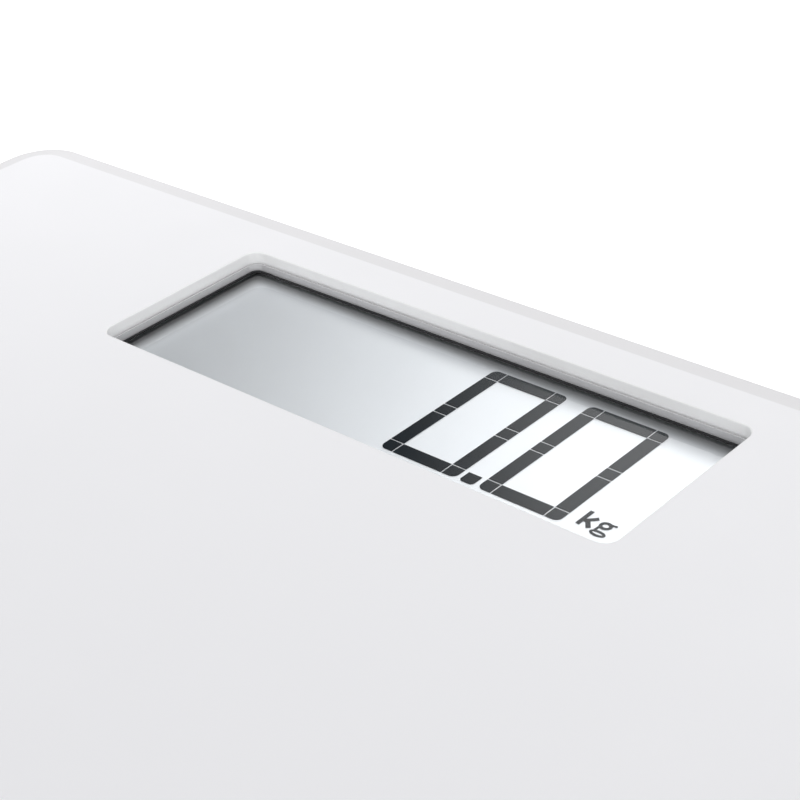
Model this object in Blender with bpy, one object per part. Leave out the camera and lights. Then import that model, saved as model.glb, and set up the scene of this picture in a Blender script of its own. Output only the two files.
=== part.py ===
"""A glass-topped digital bathroom scale, in metres, +Z up.

The origin is on the floor under the middle of the platform, and +Y points to the display side.
"""

import math

import bmesh
import bpy
from mathutils import Matrix, Vector

# Overall sizes
PLATFORM_WIDTH = 0.310
PLATFORM_DEPTH = 0.310
OVERALL_HEIGHT = 0.023
GAP = 0.0003  # between pieces that touch or are bonded
SLIDE_CLEARANCE = 0.0006  # round a piece that moves in a hole
CUT_MARGIN = 0.001  # how far a cutting shape passes the faces it cuts through
CUT_SKIM = 0.0001  # how far a notch bites into the face it stands on

# Glass platform
GLASS_THICKNESS = 0.004
GLASS_CORNER_RADIUS = 0.011
GLASS_BEVEL_WIDTH = 0.0048
GLASS_BEVEL_DROP = 0.0006
GLASS_ARRIS = 0.0004  # small chamfer at the foot of the glass edge
WINDOW_WIDTH = 0.1289
WINDOW_DEPTH = 0.0439
WINDOW_CORNER_RADIUS = 0.003
WINDOW_FAR_MARGIN = 0.0142  # from the window to the glass's rear edge

# Trim and gasket inside the window
TRIM_WALL = 0.0005
TRIM_TOP_BELOW_GLASS_TOP = 0.0025
GASKET_WALL = 0.0005
GASKET_HEIGHT = 0.0008

# Liquid crystal cell, reflector and their holder
LCD_BELOW_GLASS = 0.0004
LCD_OVERHANG = 0.00125  # past the window, on each side
LCD_SHEET = 0.00055  # one of the cell's two glass sheets
LCD_LEDGE = 0.003  # where the lower sheet stops short, for the contacts
REFLECTOR_THICKNESS = 0.0003
HOLDER_WALL = 0.0015
HOLDER_FLOOR = 0.0016
HOLDER_EAR_LENGTH = 0.011
HOLDER_EAR_WIDTH = 0.010
HOLDER_EAR_THICKNESS = 0.002
HOLDER_EAR_CORNER = 0.002
HOLDER_EAR_RISE = 0.0002  # from the holder's underside
HOLDER_SCREW_FROM_END = 0.006
HOLDER_FRONT_EAR_X = 0.030
ZEBRA_WIDTH = 0.0018
ZEBRA_LENGTH = 0.100

# Circuit board
PCB_LENGTH = 0.110
PCB_WIDTH = 0.047
PCB_THICKNESS = 0.0016
PCB_CORNER_RADIUS = 0.002
PCB_BOSS_RADIUS = 0.0025
PCB_BOSS_HEIGHT = 0.0011
PCB_SCREW_X = 0.048
PCB_SCREW_Y = -0.012
CHIP_SIZE = 0.010
CHIP_HEIGHT = 0.0014
CHIP_BEVEL = 0.0002
CHIP_X = 0.012
CHIP_Y = 0.004
SWITCH_SIZE = 0.006
SWITCH_HEIGHT = 0.0018
PLUNGER_RADIUS = 0.0015

# Unit button
BUTTON_X = -0.036
BUTTON_Y_FROM_WINDOW = -0.006
BUTTON_RADIUS = 0.004
BUTTON_CHAMFER = 0.0004
BUTTON_FLANGE = 0.0015
BUTTON_FLANGE_HEIGHT = 0.0007
BUTTON_TRAVEL = 0.0008

# Base housing
HOUSING_INSET = 0.0075
HOUSING_CORNER_RADIUS = 0.012
HOUSING_WALL = 0.003
HOUSING_FLOOR = 0.002
HOUSING_EDGE_ROUND = 0.003
GROUND_CLEARANCE = 0.005
SEAL_THICKNESS = 0.0006
RIB_THICKNESS = 0.0016
RIB_X = 0.058
RIB_Y = (-0.084, -0.028, 0.028)
RIB_END_BEFORE_HOLDER = 0.006
LEAD_NOTCH_WIDTH = 0.005
LEAD_NOTCH_HEIGHT = 0.005
POST_RADIUS = 0.0035
PILOT_CLEARANCE = 0.0003
PILOT_ROOF = 0.0006  # left solid over a blind hole

# Feet and load cells
FOOT_INSET = 0.045  # foot axis from the platform's edges
FOOT_RADIUS = 0.021
FOOT_CHAMFER = 0.0007
FOOT_BOTTOM = 0.001
FOOT_TRAVEL = 0.0005
FOOT_TOP_GAP = 0.001
FOOT_POST_RADIUS = 0.006
FOOT_SNAP = 0.0012
FOOT_SNAP_HEIGHT = 0.0013
PAD_RADIUS = 0.018
PAD_THICKNESS = 0.0016
PAD_CHAMFER = 0.0004
LOAD_CELL_SIZE = 0.034
LOAD_CELL_THICKNESS = 0.002
LOAD_CELL_SLOT = 0.002
LOAD_CELL_RIM = 0.005
LOAD_CELL_TONGUE = 0.012
LOAD_CELL_LEDGE = 0.003
LOAD_CELL_CORNER_RADIUS = 0.002
COVER_LENGTH = 0.050
COVER_WIDTH = 0.034
COVER_THICKNESS = 0.0024
COVER_CORNER_RADIUS = 0.004
COVER_HOLE_RADIUS = 0.010
COVER_SCREW_X = 0.0215

# Screws
SCREW_SHAFT_RADIUS = 0.0011
SCREW_HEAD_RADIUS = 0.0024
SCREW_HEAD_HEIGHT = 0.0013
SCREW_CROWN_SHARE = 0.7  # of the head's radius
SCREW_TIP_SHARE = 0.5  # of the shaft's radius
SCREW_HOLE_CLEARANCE = 0.0004
SCREW_TIP_CLEARANCE = 0.0006

# Battery bay
BATTERY_X = 0.0
BATTERY_Y_FROM_WINDOW = -0.057
BAY_LENGTH = 0.030
BAY_WIDTH = 0.029
BAY_WALL = 0.0015
BAY_HEIGHT = 0.0065
DOOR_THICKNESS = 0.0016
DOOR_CORNER_RADIUS = 0.0008
DOOR_TAB_LENGTH = 0.003
DOOR_TAB_WIDTH = 0.005
DOOR_TAB_THICKNESS = 0.001
DOOR_TAB_X = 0.009
CELL_RADIUS = 0.010
CELL_HEIGHT = 0.0032
CELL_EDGE = 0.0004
CELL_Y_FROM_BAY = 0.002
CONTACT_THICKNESS = 0.0004
CONTACT_WIDTH = 0.004
CONTACT_TAIL_SHARE = 0.6  # of the coin cell's radius, from its middle
TAIL_HEIGHT = 0.0015

# Leads
LEAD_RADIUS = 0.0008
LEAD_SPACING = 0.006  # between the points of its curve
LEAD_LIFT = 0.0006  # over the gap above the floor
LEAD_FROM_COVER = 0.006
LEAD_DIP = 0.0003  # below the load cell's middle, just past its edge
LEAD_END_LIFT = 0.001
LEAD_EXIT = (0.004, 0.002)
LEAD_DESCENT = 0.014
LEAD_TURN_BEGIN = 0.034
LEAD_TURN_MIDDLE = (0.006, 0.008)
LEAD_PAST_RIB = 0.010
LEAD_INSIDE_RIB = (0.006, 0.016)
LEAD_PLUG = (0.002, 0.003, 0.010)  # straight run to the board's edge: front, side, side bend
REAR_LEAD_EXIT = (0.005, 0.015)
REAR_LEAD_FROM_BOARD_FRONT = 0.008
BATTERY_LEAD_RADIUS = 0.0006
BATTERY_LEAD_SPACING = 0.003
BATTERY_LEAD_BELOW_TAIL_TOP = 0.0007
BATTERY_LEAD_SIDE = (0.003, 0.006, 0.004)
BATTERY_LEAD_AHEAD = (0.006, 0.013, 0.004)

# Worked out from the sizes above
GLASS_BOTTOM = OVERALL_HEIGHT - GLASS_THICKNESS
WINDOW_Y = PLATFORM_DEPTH / 2 - WINDOW_FAR_MARGIN - WINDOW_DEPTH / 2
LCD_TOP = GLASS_BOTTOM - LCD_BELOW_GLASS
LCD_BOTTOM = LCD_TOP - 2 * LCD_SHEET
REFLECTOR_BOTTOM = LCD_BOTTOM - GAP - REFLECTOR_THICKNESS
HOLDER_FLOOR_TOP = REFLECTOR_BOTTOM - GAP
HOLDER_BOTTOM = HOLDER_FLOOR_TOP - HOLDER_FLOOR
PCB_TOP = HOLDER_BOTTOM - PCB_BOSS_HEIGHT - GAP
PCB_BOTTOM = PCB_TOP - PCB_THICKNESS
RIM_TOP = GLASS_BOTTOM - GAP - SEAL_THICKNESS - GAP
FLOOR_BOTTOM = GROUND_CLEARANCE
FLOOR_TOP = FLOOR_BOTTOM + HOUSING_FLOOR
HOUSING_WIDTH = PLATFORM_WIDTH - 2 * HOUSING_INSET
HOUSING_DEPTH = PLATFORM_DEPTH - 2 * HOUSING_INSET
LCD_WIDTH = WINDOW_WIDTH + 2 * LCD_OVERHANG
LCD_DEPTH = WINDOW_DEPTH + 2 * LCD_OVERHANG
HOLDER_WIDTH = LCD_WIDTH + 2 * (GAP + HOLDER_WALL)
HOLDER_DEPTH = LCD_DEPTH + 2 * (GAP + HOLDER_WALL)
FOOT_X = PLATFORM_WIDTH / 2 - FOOT_INSET
FOOT_Y = PLATFORM_DEPTH / 2 - FOOT_INSET
FOOT_TOP = FLOOR_BOTTOM - FOOT_TOP_GAP
SNAP_BOTTOM = FLOOR_TOP + GAP
SNAP_TOP = SNAP_BOTTOM + FOOT_SNAP_HEIGHT
LOAD_CELL_BOTTOM = SNAP_TOP + FOOT_TRAVEL + 2 * GAP
LOAD_CELL_TOP = LOAD_CELL_BOTTOM + LOAD_CELL_THICKNESS
COVER_BOTTOM = LOAD_CELL_TOP + GAP
COVER_TOP = COVER_BOTTOM + COVER_THICKNESS
BATTERY_Y = WINDOW_Y + BATTERY_Y_FROM_WINDOW
BAY_TOP = FLOOR_TOP + BAY_HEIGHT
BAY_CEILING = BAY_TOP - BAY_WALL
BUTTON_Y = WINDOW_Y + BUTTON_Y_FROM_WINDOW
BUTTON_TOP = FLOOR_TOP + GAP + BUTTON_FLANGE_HEIGHT
CORNERS = {
    "front_left": (-1, -1),
    "front_right": (1, -1),
    "rear_left": (-1, 1),
    "rear_right": (1, 1),
}


# Tools


def clear_scene():
    for item in list(bpy.data.objects):
        bpy.data.objects.remove(item, do_unlink=True)


def make_material(name, colour, roughness, metallic=0.0):
    material = bpy.data.materials.new(name)
    material.use_nodes = True
    shader = material.node_tree.nodes["Principled BSDF"]
    shader.inputs["Base Color"].default_value = (*colour, 1.0)
    shader.inputs["Roughness"].default_value = roughness
    shader.inputs["Metallic"].default_value = metallic
    material.diffuse_color = (*colour, 1.0)
    return material


def add_object(name, mesh_data, material=None, origin=(0.0, 0.0, 0.0)):
    """Turns a bmesh made in world coordinates into an object with its origin at the point given."""
    bmesh.ops.recalc_face_normals(mesh_data, faces=mesh_data.faces)
    bmesh.ops.translate(mesh_data, verts=mesh_data.verts, vec=-Vector(origin))
    mesh = bpy.data.meshes.new(name)
    mesh_data.to_mesh(mesh)
    mesh_data.free()
    if material:
        mesh.materials.append(material)
    item = bpy.data.objects.new(name, mesh)
    item.location = origin
    bpy.context.collection.objects.link(item)
    return item


def rounded_rectangle(width, depth, radius, centre=(0.0, 0.0), steps=6):
    """Points of an outline, anticlockwise from its right side."""
    points = []
    for quarter in range(4):
        middle = math.pi / 4 + quarter * math.pi / 2
        corner_x = math.copysign(width / 2 - radius, math.cos(middle))
        corner_y = math.copysign(depth / 2 - radius, math.sin(middle))
        for step in range(steps + 1):
            angle = (quarter + step / steps) * math.pi / 2
            points.append(
                (
                    centre[0] + corner_x + radius * math.cos(angle),
                    centre[1] + corner_y + radius * math.sin(angle),
                )
            )
    return points


def rectangle(width, depth, centre=(0.0, 0.0)):
    x, y = width / 2, depth / 2
    corners = ((x, -y), (x, y), (-x, y), (-x, -y))
    return [(centre[0] + a, centre[1] + b) for a, b in corners]


def circle(radius, centre=(0.0, 0.0), sides=24):
    return [
        (
            centre[0] + radius * math.cos(2 * math.pi * side / sides),
            centre[1] + radius * math.sin(2 * math.pi * side / sides),
        )
        for side in range(sides)
    ]


def loft(mesh_data, levels, ring=False):
    """Joins outlines of equal length, each (points, z), with quads. A ring's last joins its first."""
    loops = [
        [mesh_data.verts.new((x, y, z)) for x, y in points] for points, z in levels
    ]
    pairs = list(zip(loops, loops[1:]))
    if ring:
        pairs.append((loops[-1], loops[0]))
    else:
        mesh_data.faces.new(loops[0][::-1])
        mesh_data.faces.new(loops[-1])
    for low, high in pairs:
        count = len(low)
        for index in range(count):
            after = (index + 1) % count
            mesh_data.faces.new((low[index], low[after], high[after], high[index]))
    return mesh_data


def prism(outline, low, high, mesh_data=None):
    return loft(mesh_data or bmesh.new(), [(outline, low), (outline, high)])


def turned(profile, centre, sides=24, mesh_data=None):
    """A solid of revolution about a vertical axis, from its (radius, z) profile, bottom to top."""
    levels = [(circle(radius, centre, sides), z) for radius, z in profile]
    return loft(mesh_data or bmesh.new(), levels)


def side_profile(points, low_x, high_x, mesh_data=None):
    """A (y, z) outline, extruded along X."""
    mesh_data = mesh_data or bmesh.new()
    ends = [
        [mesh_data.verts.new((x, y, z)) for y, z in points] for x in (low_x, high_x)
    ]
    mesh_data.faces.new(ends[0])
    mesh_data.faces.new(ends[1][::-1])
    count = len(points)
    for index in range(count):
        after = (index + 1) % count
        mesh_data.faces.new(
            (ends[0][after], ends[0][index], ends[1][index], ends[1][after])
        )
    return mesh_data


def boolean(target, operation, name, mesh_data):
    """Adds or cuts a hidden shape. Its parts may be several, as long as they don't overlap."""
    tool = add_object(f"{name}_shape", mesh_data)
    tool.hide_render = True
    tool.display_type = "WIRE"
    modifier = target.modifiers.new(name, "BOOLEAN")
    modifier.operation = operation
    modifier.solver = "EXACT"
    modifier.object = tool


def bevel_edges(mesh_data, width):
    edges = list(mesh_data.edges)
    bmesh.ops.bevel(mesh_data, geom=edges, offset=width, segments=1, affect="EDGES", material=-1)
    return mesh_data


# Platform and display


def build_glass(material):
    outline = (PLATFORM_WIDTH, PLATFORM_DEPTH, GLASS_CORNER_RADIUS)

    def outer(inset, z):
        width, depth, radius = (value - share * inset for value, share in zip(outline, (2, 2, 1)))
        return rounded_rectangle(width, depth, radius), z

    window = rounded_rectangle(
        WINDOW_WIDTH, WINDOW_DEPTH, WINDOW_CORNER_RADIUS, (0.0, WINDOW_Y)
    )
    mesh_data = loft(
        bmesh.new(),
        [
            outer(GLASS_ARRIS, GLASS_BOTTOM),
            outer(0.0, GLASS_BOTTOM + GLASS_ARRIS),
            outer(0.0, OVERALL_HEIGHT - GLASS_BEVEL_DROP),
            outer(GLASS_BEVEL_WIDTH, OVERALL_HEIGHT),
            (window, OVERALL_HEIGHT),
            (window, GLASS_BOTTOM),
        ],
        ring=True,
    )
    return add_object("glass_platform", mesh_data, material)


def window_ring(name, inset, wall, bottom, top, material):
    """A thin ring that follows the window's outline, inset from it."""

    def outline(distance):
        return rounded_rectangle(
            WINDOW_WIDTH - 2 * distance,
            WINDOW_DEPTH - 2 * distance,
            WINDOW_CORNER_RADIUS - distance,
            (0.0, WINDOW_Y),
        )

    outside, inside = outline(inset), outline(inset + wall)
    levels = [(outside, bottom), (outside, top), (inside, top), (inside, bottom)]
    return add_object(name, loft(bmesh.new(), levels, ring=True), material)


def build_window_rings(trim_material, gasket_material):
    bottom = LCD_TOP + GAP
    trim_top = OVERALL_HEIGHT - TRIM_TOP_BELOW_GLASS_TOP
    window_ring("display_trim", GAP, TRIM_WALL, bottom, trim_top, trim_material)
    gasket_inset = GAP + TRIM_WALL + GAP
    gasket_top = bottom + GASKET_HEIGHT
    window_ring(
        "display_gasket", gasket_inset, GASKET_WALL, bottom, gasket_top, gasket_material
    )


def build_seal(material):
    width = HOUSING_WALL - 2 * GAP

    def outline(distance):
        return rounded_rectangle(
            HOUSING_WIDTH - 2 * distance,
            HOUSING_DEPTH - 2 * distance,
            HOUSING_CORNER_RADIUS - distance,
        )

    bottom = RIM_TOP + GAP
    top = bottom + SEAL_THICKNESS
    outside, inside = outline(GAP), outline(GAP + width)
    levels = [(outside, bottom), (outside, top), (inside, top), (inside, bottom)]
    add_object("glass_bond_seal", loft(bmesh.new(), levels, ring=True), material)


def build_lcd(cell_material, reflector_material, zebra_material):
    front, rear = WINDOW_Y - LCD_DEPTH / 2, WINDOW_Y + LCD_DEPTH / 2
    ledge = rear - LCD_LEDGE
    middle = LCD_BOTTOM + LCD_SHEET
    section = [
        (front, LCD_BOTTOM),
        (ledge, LCD_BOTTOM),
        (ledge, middle),
        (rear, middle),
        (rear, LCD_TOP),
        (front, LCD_TOP),
    ]
    half = LCD_WIDTH / 2
    add_object("lcd_cell", side_profile(section, -half, half), cell_material)

    reflector_depth = LCD_DEPTH - LCD_LEDGE - GAP
    centre = (0.0, front + reflector_depth / 2)
    sheet = prism(
        rectangle(LCD_WIDTH, reflector_depth, centre),
        REFLECTOR_BOTTOM,
        REFLECTOR_BOTTOM + REFLECTOR_THICKNESS,
    )
    add_object("lcd_reflector", sheet, reflector_material)

    strip = prism(
        rectangle(ZEBRA_LENGTH, ZEBRA_WIDTH, (0.0, zebra_y())),
        PCB_TOP + GAP,
        middle - GAP,
    )
    add_object("zebra_strip", strip, zebra_material)


def zebra_y():
    return WINDOW_Y + LCD_DEPTH / 2 - LCD_LEDGE / 2 + GAP


def holder_ears():
    """Where each ear leaves the holder, and the way it points."""
    side_x = HOLDER_WIDTH / 2
    side_y = WINDOW_Y + HOLDER_DEPTH / 2 - HOLDER_EAR_WIDTH / 2
    front_y = WINDOW_Y - HOLDER_DEPTH / 2
    return {
        "rear_left": ((-side_x, side_y), (-1, 0)),
        "rear_right": ((side_x, side_y), (1, 0)),
        "front_left": ((-HOLDER_FRONT_EAR_X, front_y), (0, -1)),
        "front_right": ((HOLDER_FRONT_EAR_X, front_y), (0, -1)),
    }


def holder_screw_points():
    return {
        name: tuple(a + HOLDER_SCREW_FROM_END * b for a, b in zip(root, way))
        for name, (root, way) in holder_ears().items()
    }


def pcb_screw_points():
    y = WINDOW_Y + PCB_SCREW_Y
    return {"left": (-PCB_SCREW_X, y), "right": (PCB_SCREW_X, y)}


def build_holder(material):
    centre = (0.0, WINDOW_Y)
    body = prism(rectangle(HOLDER_WIDTH, HOLDER_DEPTH, centre), HOLDER_BOTTOM, LCD_TOP)
    holder = add_object("display_holder", body, material)

    added = bmesh.new()
    overlap = HOLDER_WALL / 2
    ear_length = HOLDER_EAR_LENGTH + overlap
    low = HOLDER_BOTTOM + HOLDER_EAR_RISE
    for root, way in holder_ears().values():
        middle = [a + (ear_length / 2 - overlap) * b for a, b in zip(root, way)]
        size = (ear_length, HOLDER_EAR_WIDTH) if way[0] else (HOLDER_EAR_WIDTH, ear_length)
        ear = rounded_rectangle(*size, HOLDER_EAR_CORNER, middle, 2)
        prism(ear, low, low + HOLDER_EAR_THICKNESS, added)
    for point in pcb_screw_points().values():
        boss = circle(PCB_BOSS_RADIUS, point, 16)
        prism(boss, PCB_TOP + GAP, HOLDER_BOTTOM + HOLDER_FLOOR / 2, added)
    boolean(holder, "UNION", "ears_and_bosses", added)

    pocket = bmesh.new()
    pocket_outline = rectangle(LCD_WIDTH + 2 * GAP, LCD_DEPTH + 2 * GAP, centre)
    prism(pocket_outline, HOLDER_FLOOR_TOP, LCD_TOP + CUT_MARGIN, pocket)
    boolean(holder, "DIFFERENCE", "lcd_pocket", pocket)

    holes = bmesh.new()
    slot = rectangle(ZEBRA_LENGTH + 2 * GAP, ZEBRA_WIDTH + 2 * GAP, (0.0, zebra_y()))
    prism(slot, HOLDER_BOTTOM - CUT_MARGIN, HOLDER_FLOOR_TOP + CUT_MARGIN, holes)
    hole_radius = SCREW_SHAFT_RADIUS + SCREW_HOLE_CLEARANCE
    for point in holder_screw_points().values():
        prism(circle(hole_radius, point, 16), HOLDER_BOTTOM - CUT_MARGIN, LCD_TOP, holes)
    for point in pcb_screw_points().values():
        pilot = circle(SCREW_SHAFT_RADIUS + PILOT_CLEARANCE, point, 12)
        prism(pilot, PCB_TOP, HOLDER_FLOOR_TOP - PILOT_ROOF, holes)
    boolean(holder, "DIFFERENCE", "holder_holes", holes)


def build_electronics(board_material, chip_material, switch_material):
    board = prism(
        rounded_rectangle(PCB_LENGTH, PCB_WIDTH, PCB_CORNER_RADIUS, (0.0, WINDOW_Y), 3),
        PCB_BOTTOM,
        PCB_TOP,
    )
    pcb = add_object("main_pcb", board, board_material)
    holes = bmesh.new()
    radius = SCREW_SHAFT_RADIUS + SCREW_HOLE_CLEARANCE
    for point in pcb_screw_points().values():
        hole = circle(radius, point, 16)
        prism(hole, PCB_BOTTOM - CUT_MARGIN, PCB_TOP + CUT_MARGIN, holes)
    boolean(pcb, "DIFFERENCE", "pcb_holes", holes)

    chip_top = PCB_BOTTOM - GAP
    chip = prism(
        rectangle(CHIP_SIZE, CHIP_SIZE, (CHIP_X, WINDOW_Y + CHIP_Y)),
        chip_top - CHIP_HEIGHT,
        chip_top,
    )
    add_object("controller_chip", bevel_edges(chip, CHIP_BEVEL), chip_material)

    body_bottom = chip_top - SWITCH_HEIGHT
    centre = (BUTTON_X, BUTTON_Y)
    switch = add_object(
        "unit_switch",
        prism(rectangle(SWITCH_SIZE, SWITCH_SIZE, centre), body_bottom, chip_top),
        switch_material,
    )
    plunger = prism(
        circle(PLUNGER_RADIUS, centre, 16),
        BUTTON_TOP + BUTTON_TRAVEL + GAP,
        body_bottom + SWITCH_HEIGHT / 2,
    )
    boolean(switch, "UNION", "plunger", plunger)


def build_button(material):
    centre = (BUTTON_X, BUTTON_Y)
    profile = [
        (BUTTON_RADIUS - BUTTON_CHAMFER, FLOOR_BOTTOM),
        (BUTTON_RADIUS, FLOOR_BOTTOM + BUTTON_CHAMFER),
        (BUTTON_RADIUS, FLOOR_TOP + GAP),
        (BUTTON_RADIUS + BUTTON_FLANGE, FLOOR_TOP + GAP),
        (BUTTON_RADIUS + BUTTON_FLANGE, BUTTON_TOP),
    ]
    add_object("unit_button", turned(profile, centre), material, (*centre, FLOOR_BOTTOM))


# Base housing


def build_housing(material):
    def outline(inset):
        return rounded_rectangle(
            HOUSING_WIDTH - 2 * inset,
            HOUSING_DEPTH - 2 * inset,
            HOUSING_CORNER_RADIUS - inset,
        )

    steps = 3
    levels = []
    for step in range(steps + 1):
        angle = step / steps * math.pi / 2
        inset = HOUSING_EDGE_ROUND * (1 - math.sin(angle))
        levels.append(
            (outline(inset), FLOOR_BOTTOM + HOUSING_EDGE_ROUND * (1 - math.cos(angle)))
        )
    levels += [
        (outline(0.0), RIM_TOP),
        (outline(HOUSING_WALL), RIM_TOP),
        (outline(HOUSING_WALL), FLOOR_TOP),
    ]
    housing = add_object("base_housing", loft(bmesh.new(), levels), material)
    bury = HOUSING_FLOOR / 2  # how far an added shape reaches into the floor or the wall
    low = FLOOR_TOP - bury
    inner_x = HOUSING_WIDTH / 2 - HOUSING_WALL + bury
    inner_y = HOUSING_DEPTH / 2 - HOUSING_WALL + bury
    bay_front = BATTERY_Y - BAY_WIDTH / 2 - BAY_WALL

    along = bmesh.new()
    rib_end = WINDOW_Y - HOLDER_DEPTH / 2 - RIB_END_BEFORE_HOLDER
    for x, end in ((-RIB_X, rib_end), (RIB_X, rib_end), (0.0, bay_front + BAY_WALL / 2)):
        length = end + inner_y
        rib = rectangle(RIB_THICKNESS, length, (x, end - length / 2))
        prism(rib, low, RIM_TOP - GAP, along)
    boolean(housing, "UNION", "ribs_along", along)

    across = bmesh.new()
    for y in RIB_Y:
        prism(rectangle(2 * inner_x, RIB_THICKNESS, (0.0, y)), low, RIM_TOP - 2 * GAP, across)
    boolean(housing, "UNION", "ribs_across", across)

    added = bmesh.new()
    bay = rectangle(BAY_LENGTH + 2 * BAY_WALL, BAY_WIDTH + 2 * BAY_WALL, (BATTERY_X, BATTERY_Y))
    prism(bay, low, BAY_TOP, added)
    for point in holder_screw_points().values():
        prism(circle(POST_RADIUS, point, 20), low, HOLDER_BOTTOM + HOLDER_EAR_RISE - GAP, added)
    for side_x, side_y in CORNERS.values():
        foot = (side_x * FOOT_X, side_y * FOOT_Y)
        seat = rectangle(LOAD_CELL_SIZE, LOAD_CELL_SIZE, foot)
        prism(seat, low, LOAD_CELL_BOTTOM - GAP, added)
        for post in cover_screw_points(foot):
            prism(circle(POST_RADIUS, post, 20), low, COVER_BOTTOM - GAP, added)
    boolean(housing, "UNION", "bay_posts_and_seats", added)

    cuts = bmesh.new()
    bay_inside = rectangle(BAY_LENGTH, BAY_WIDTH, (BATTERY_X, BATTERY_Y))
    prism(bay_inside, FLOOR_BOTTOM - CUT_MARGIN, BAY_CEILING, cuts)
    button_hole = circle(BUTTON_RADIUS + SLIDE_CLEARANCE, (BUTTON_X, BUTTON_Y), 24)
    prism(button_hole, FLOOR_BOTTOM - CUT_MARGIN, FLOOR_TOP + CUT_MARGIN, cuts)
    pilot_radius = SCREW_SHAFT_RADIUS + PILOT_CLEARANCE
    for point in holder_screw_points().values():
        prism(circle(pilot_radius, point, 12), FLOOR_TOP, HOLDER_BOTTOM + CUT_MARGIN, cuts)
    for side_x, side_y in CORNERS.values():
        foot = (side_x * FOOT_X, side_y * FOOT_Y)
        hollow = LOAD_CELL_SIZE - 2 * LOAD_CELL_LEDGE
        prism(rectangle(hollow, hollow, foot), FLOOR_TOP, LOAD_CELL_BOTTOM, cuts)
        for post in cover_screw_points(foot):
            prism(circle(pilot_radius, post, 12), FLOOR_TOP, COVER_BOTTOM, cuts)
    boolean(housing, "DIFFERENCE", "hollows", cuts)

    through = bmesh.new()
    for side in (-1, 1):
        notch = rectangle(
            DOOR_TAB_WIDTH + 2 * SLIDE_CLEARANCE,
            3 * BAY_WALL,
            (BATTERY_X + side * DOOR_TAB_X, bay_front + BAY_WALL / 2),
        )
        prism(notch, FLOOR_TOP - CUT_SKIM, door_tab_sweep_top() + GAP, through)
    for side_x, side_y in CORNERS.values():
        hole = circle(
            FOOT_POST_RADIUS + SLIDE_CLEARANCE, (side_x * FOOT_X, side_y * FOOT_Y), 24
        )
        prism(hole, FLOOR_BOTTOM - CUT_MARGIN, FLOOR_TOP + CUT_MARGIN, through)
    for x in contact_tail_x().values():
        slot = rectangle(
            CONTACT_THICKNESS + 2 * SLIDE_CLEARANCE,
            CONTACT_WIDTH + 2 * SLIDE_CLEARANCE,
            (x, cell_y()),
        )
        prism(slot, BAY_CEILING - CUT_MARGIN, BAY_TOP + CUT_MARGIN, through)
    for side in (-1, 1):
        for y in RIB_Y:
            notch = rectangle(LEAD_NOTCH_WIDTH, 3 * RIB_THICKNESS, (side * lead_x(), y))
            prism(notch, FLOOR_TOP + GAP, FLOOR_TOP + LEAD_NOTCH_HEIGHT, through)
    boolean(housing, "DIFFERENCE", "holes_and_notches", through)


# Battery


def door_tab_top():
    return FLOOR_TOP + GAP + DOOR_TAB_THICKNESS


def door_tab_sweep_top():
    """The highest point that the door's tabs reach as it opens."""
    return FLOOR_BOTTOM + math.hypot(DOOR_TAB_LENGTH, door_tab_top() - FLOOR_BOTTOM)


def cell_y():
    return BATTERY_Y + CELL_Y_FROM_BAY


def contact_tail_x():
    """Middle of each contact's upright tail."""
    offset = CONTACT_TAIL_SHARE * CELL_RADIUS
    return {"negative": BATTERY_X - offset, "positive": BATTERY_X + offset}


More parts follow.
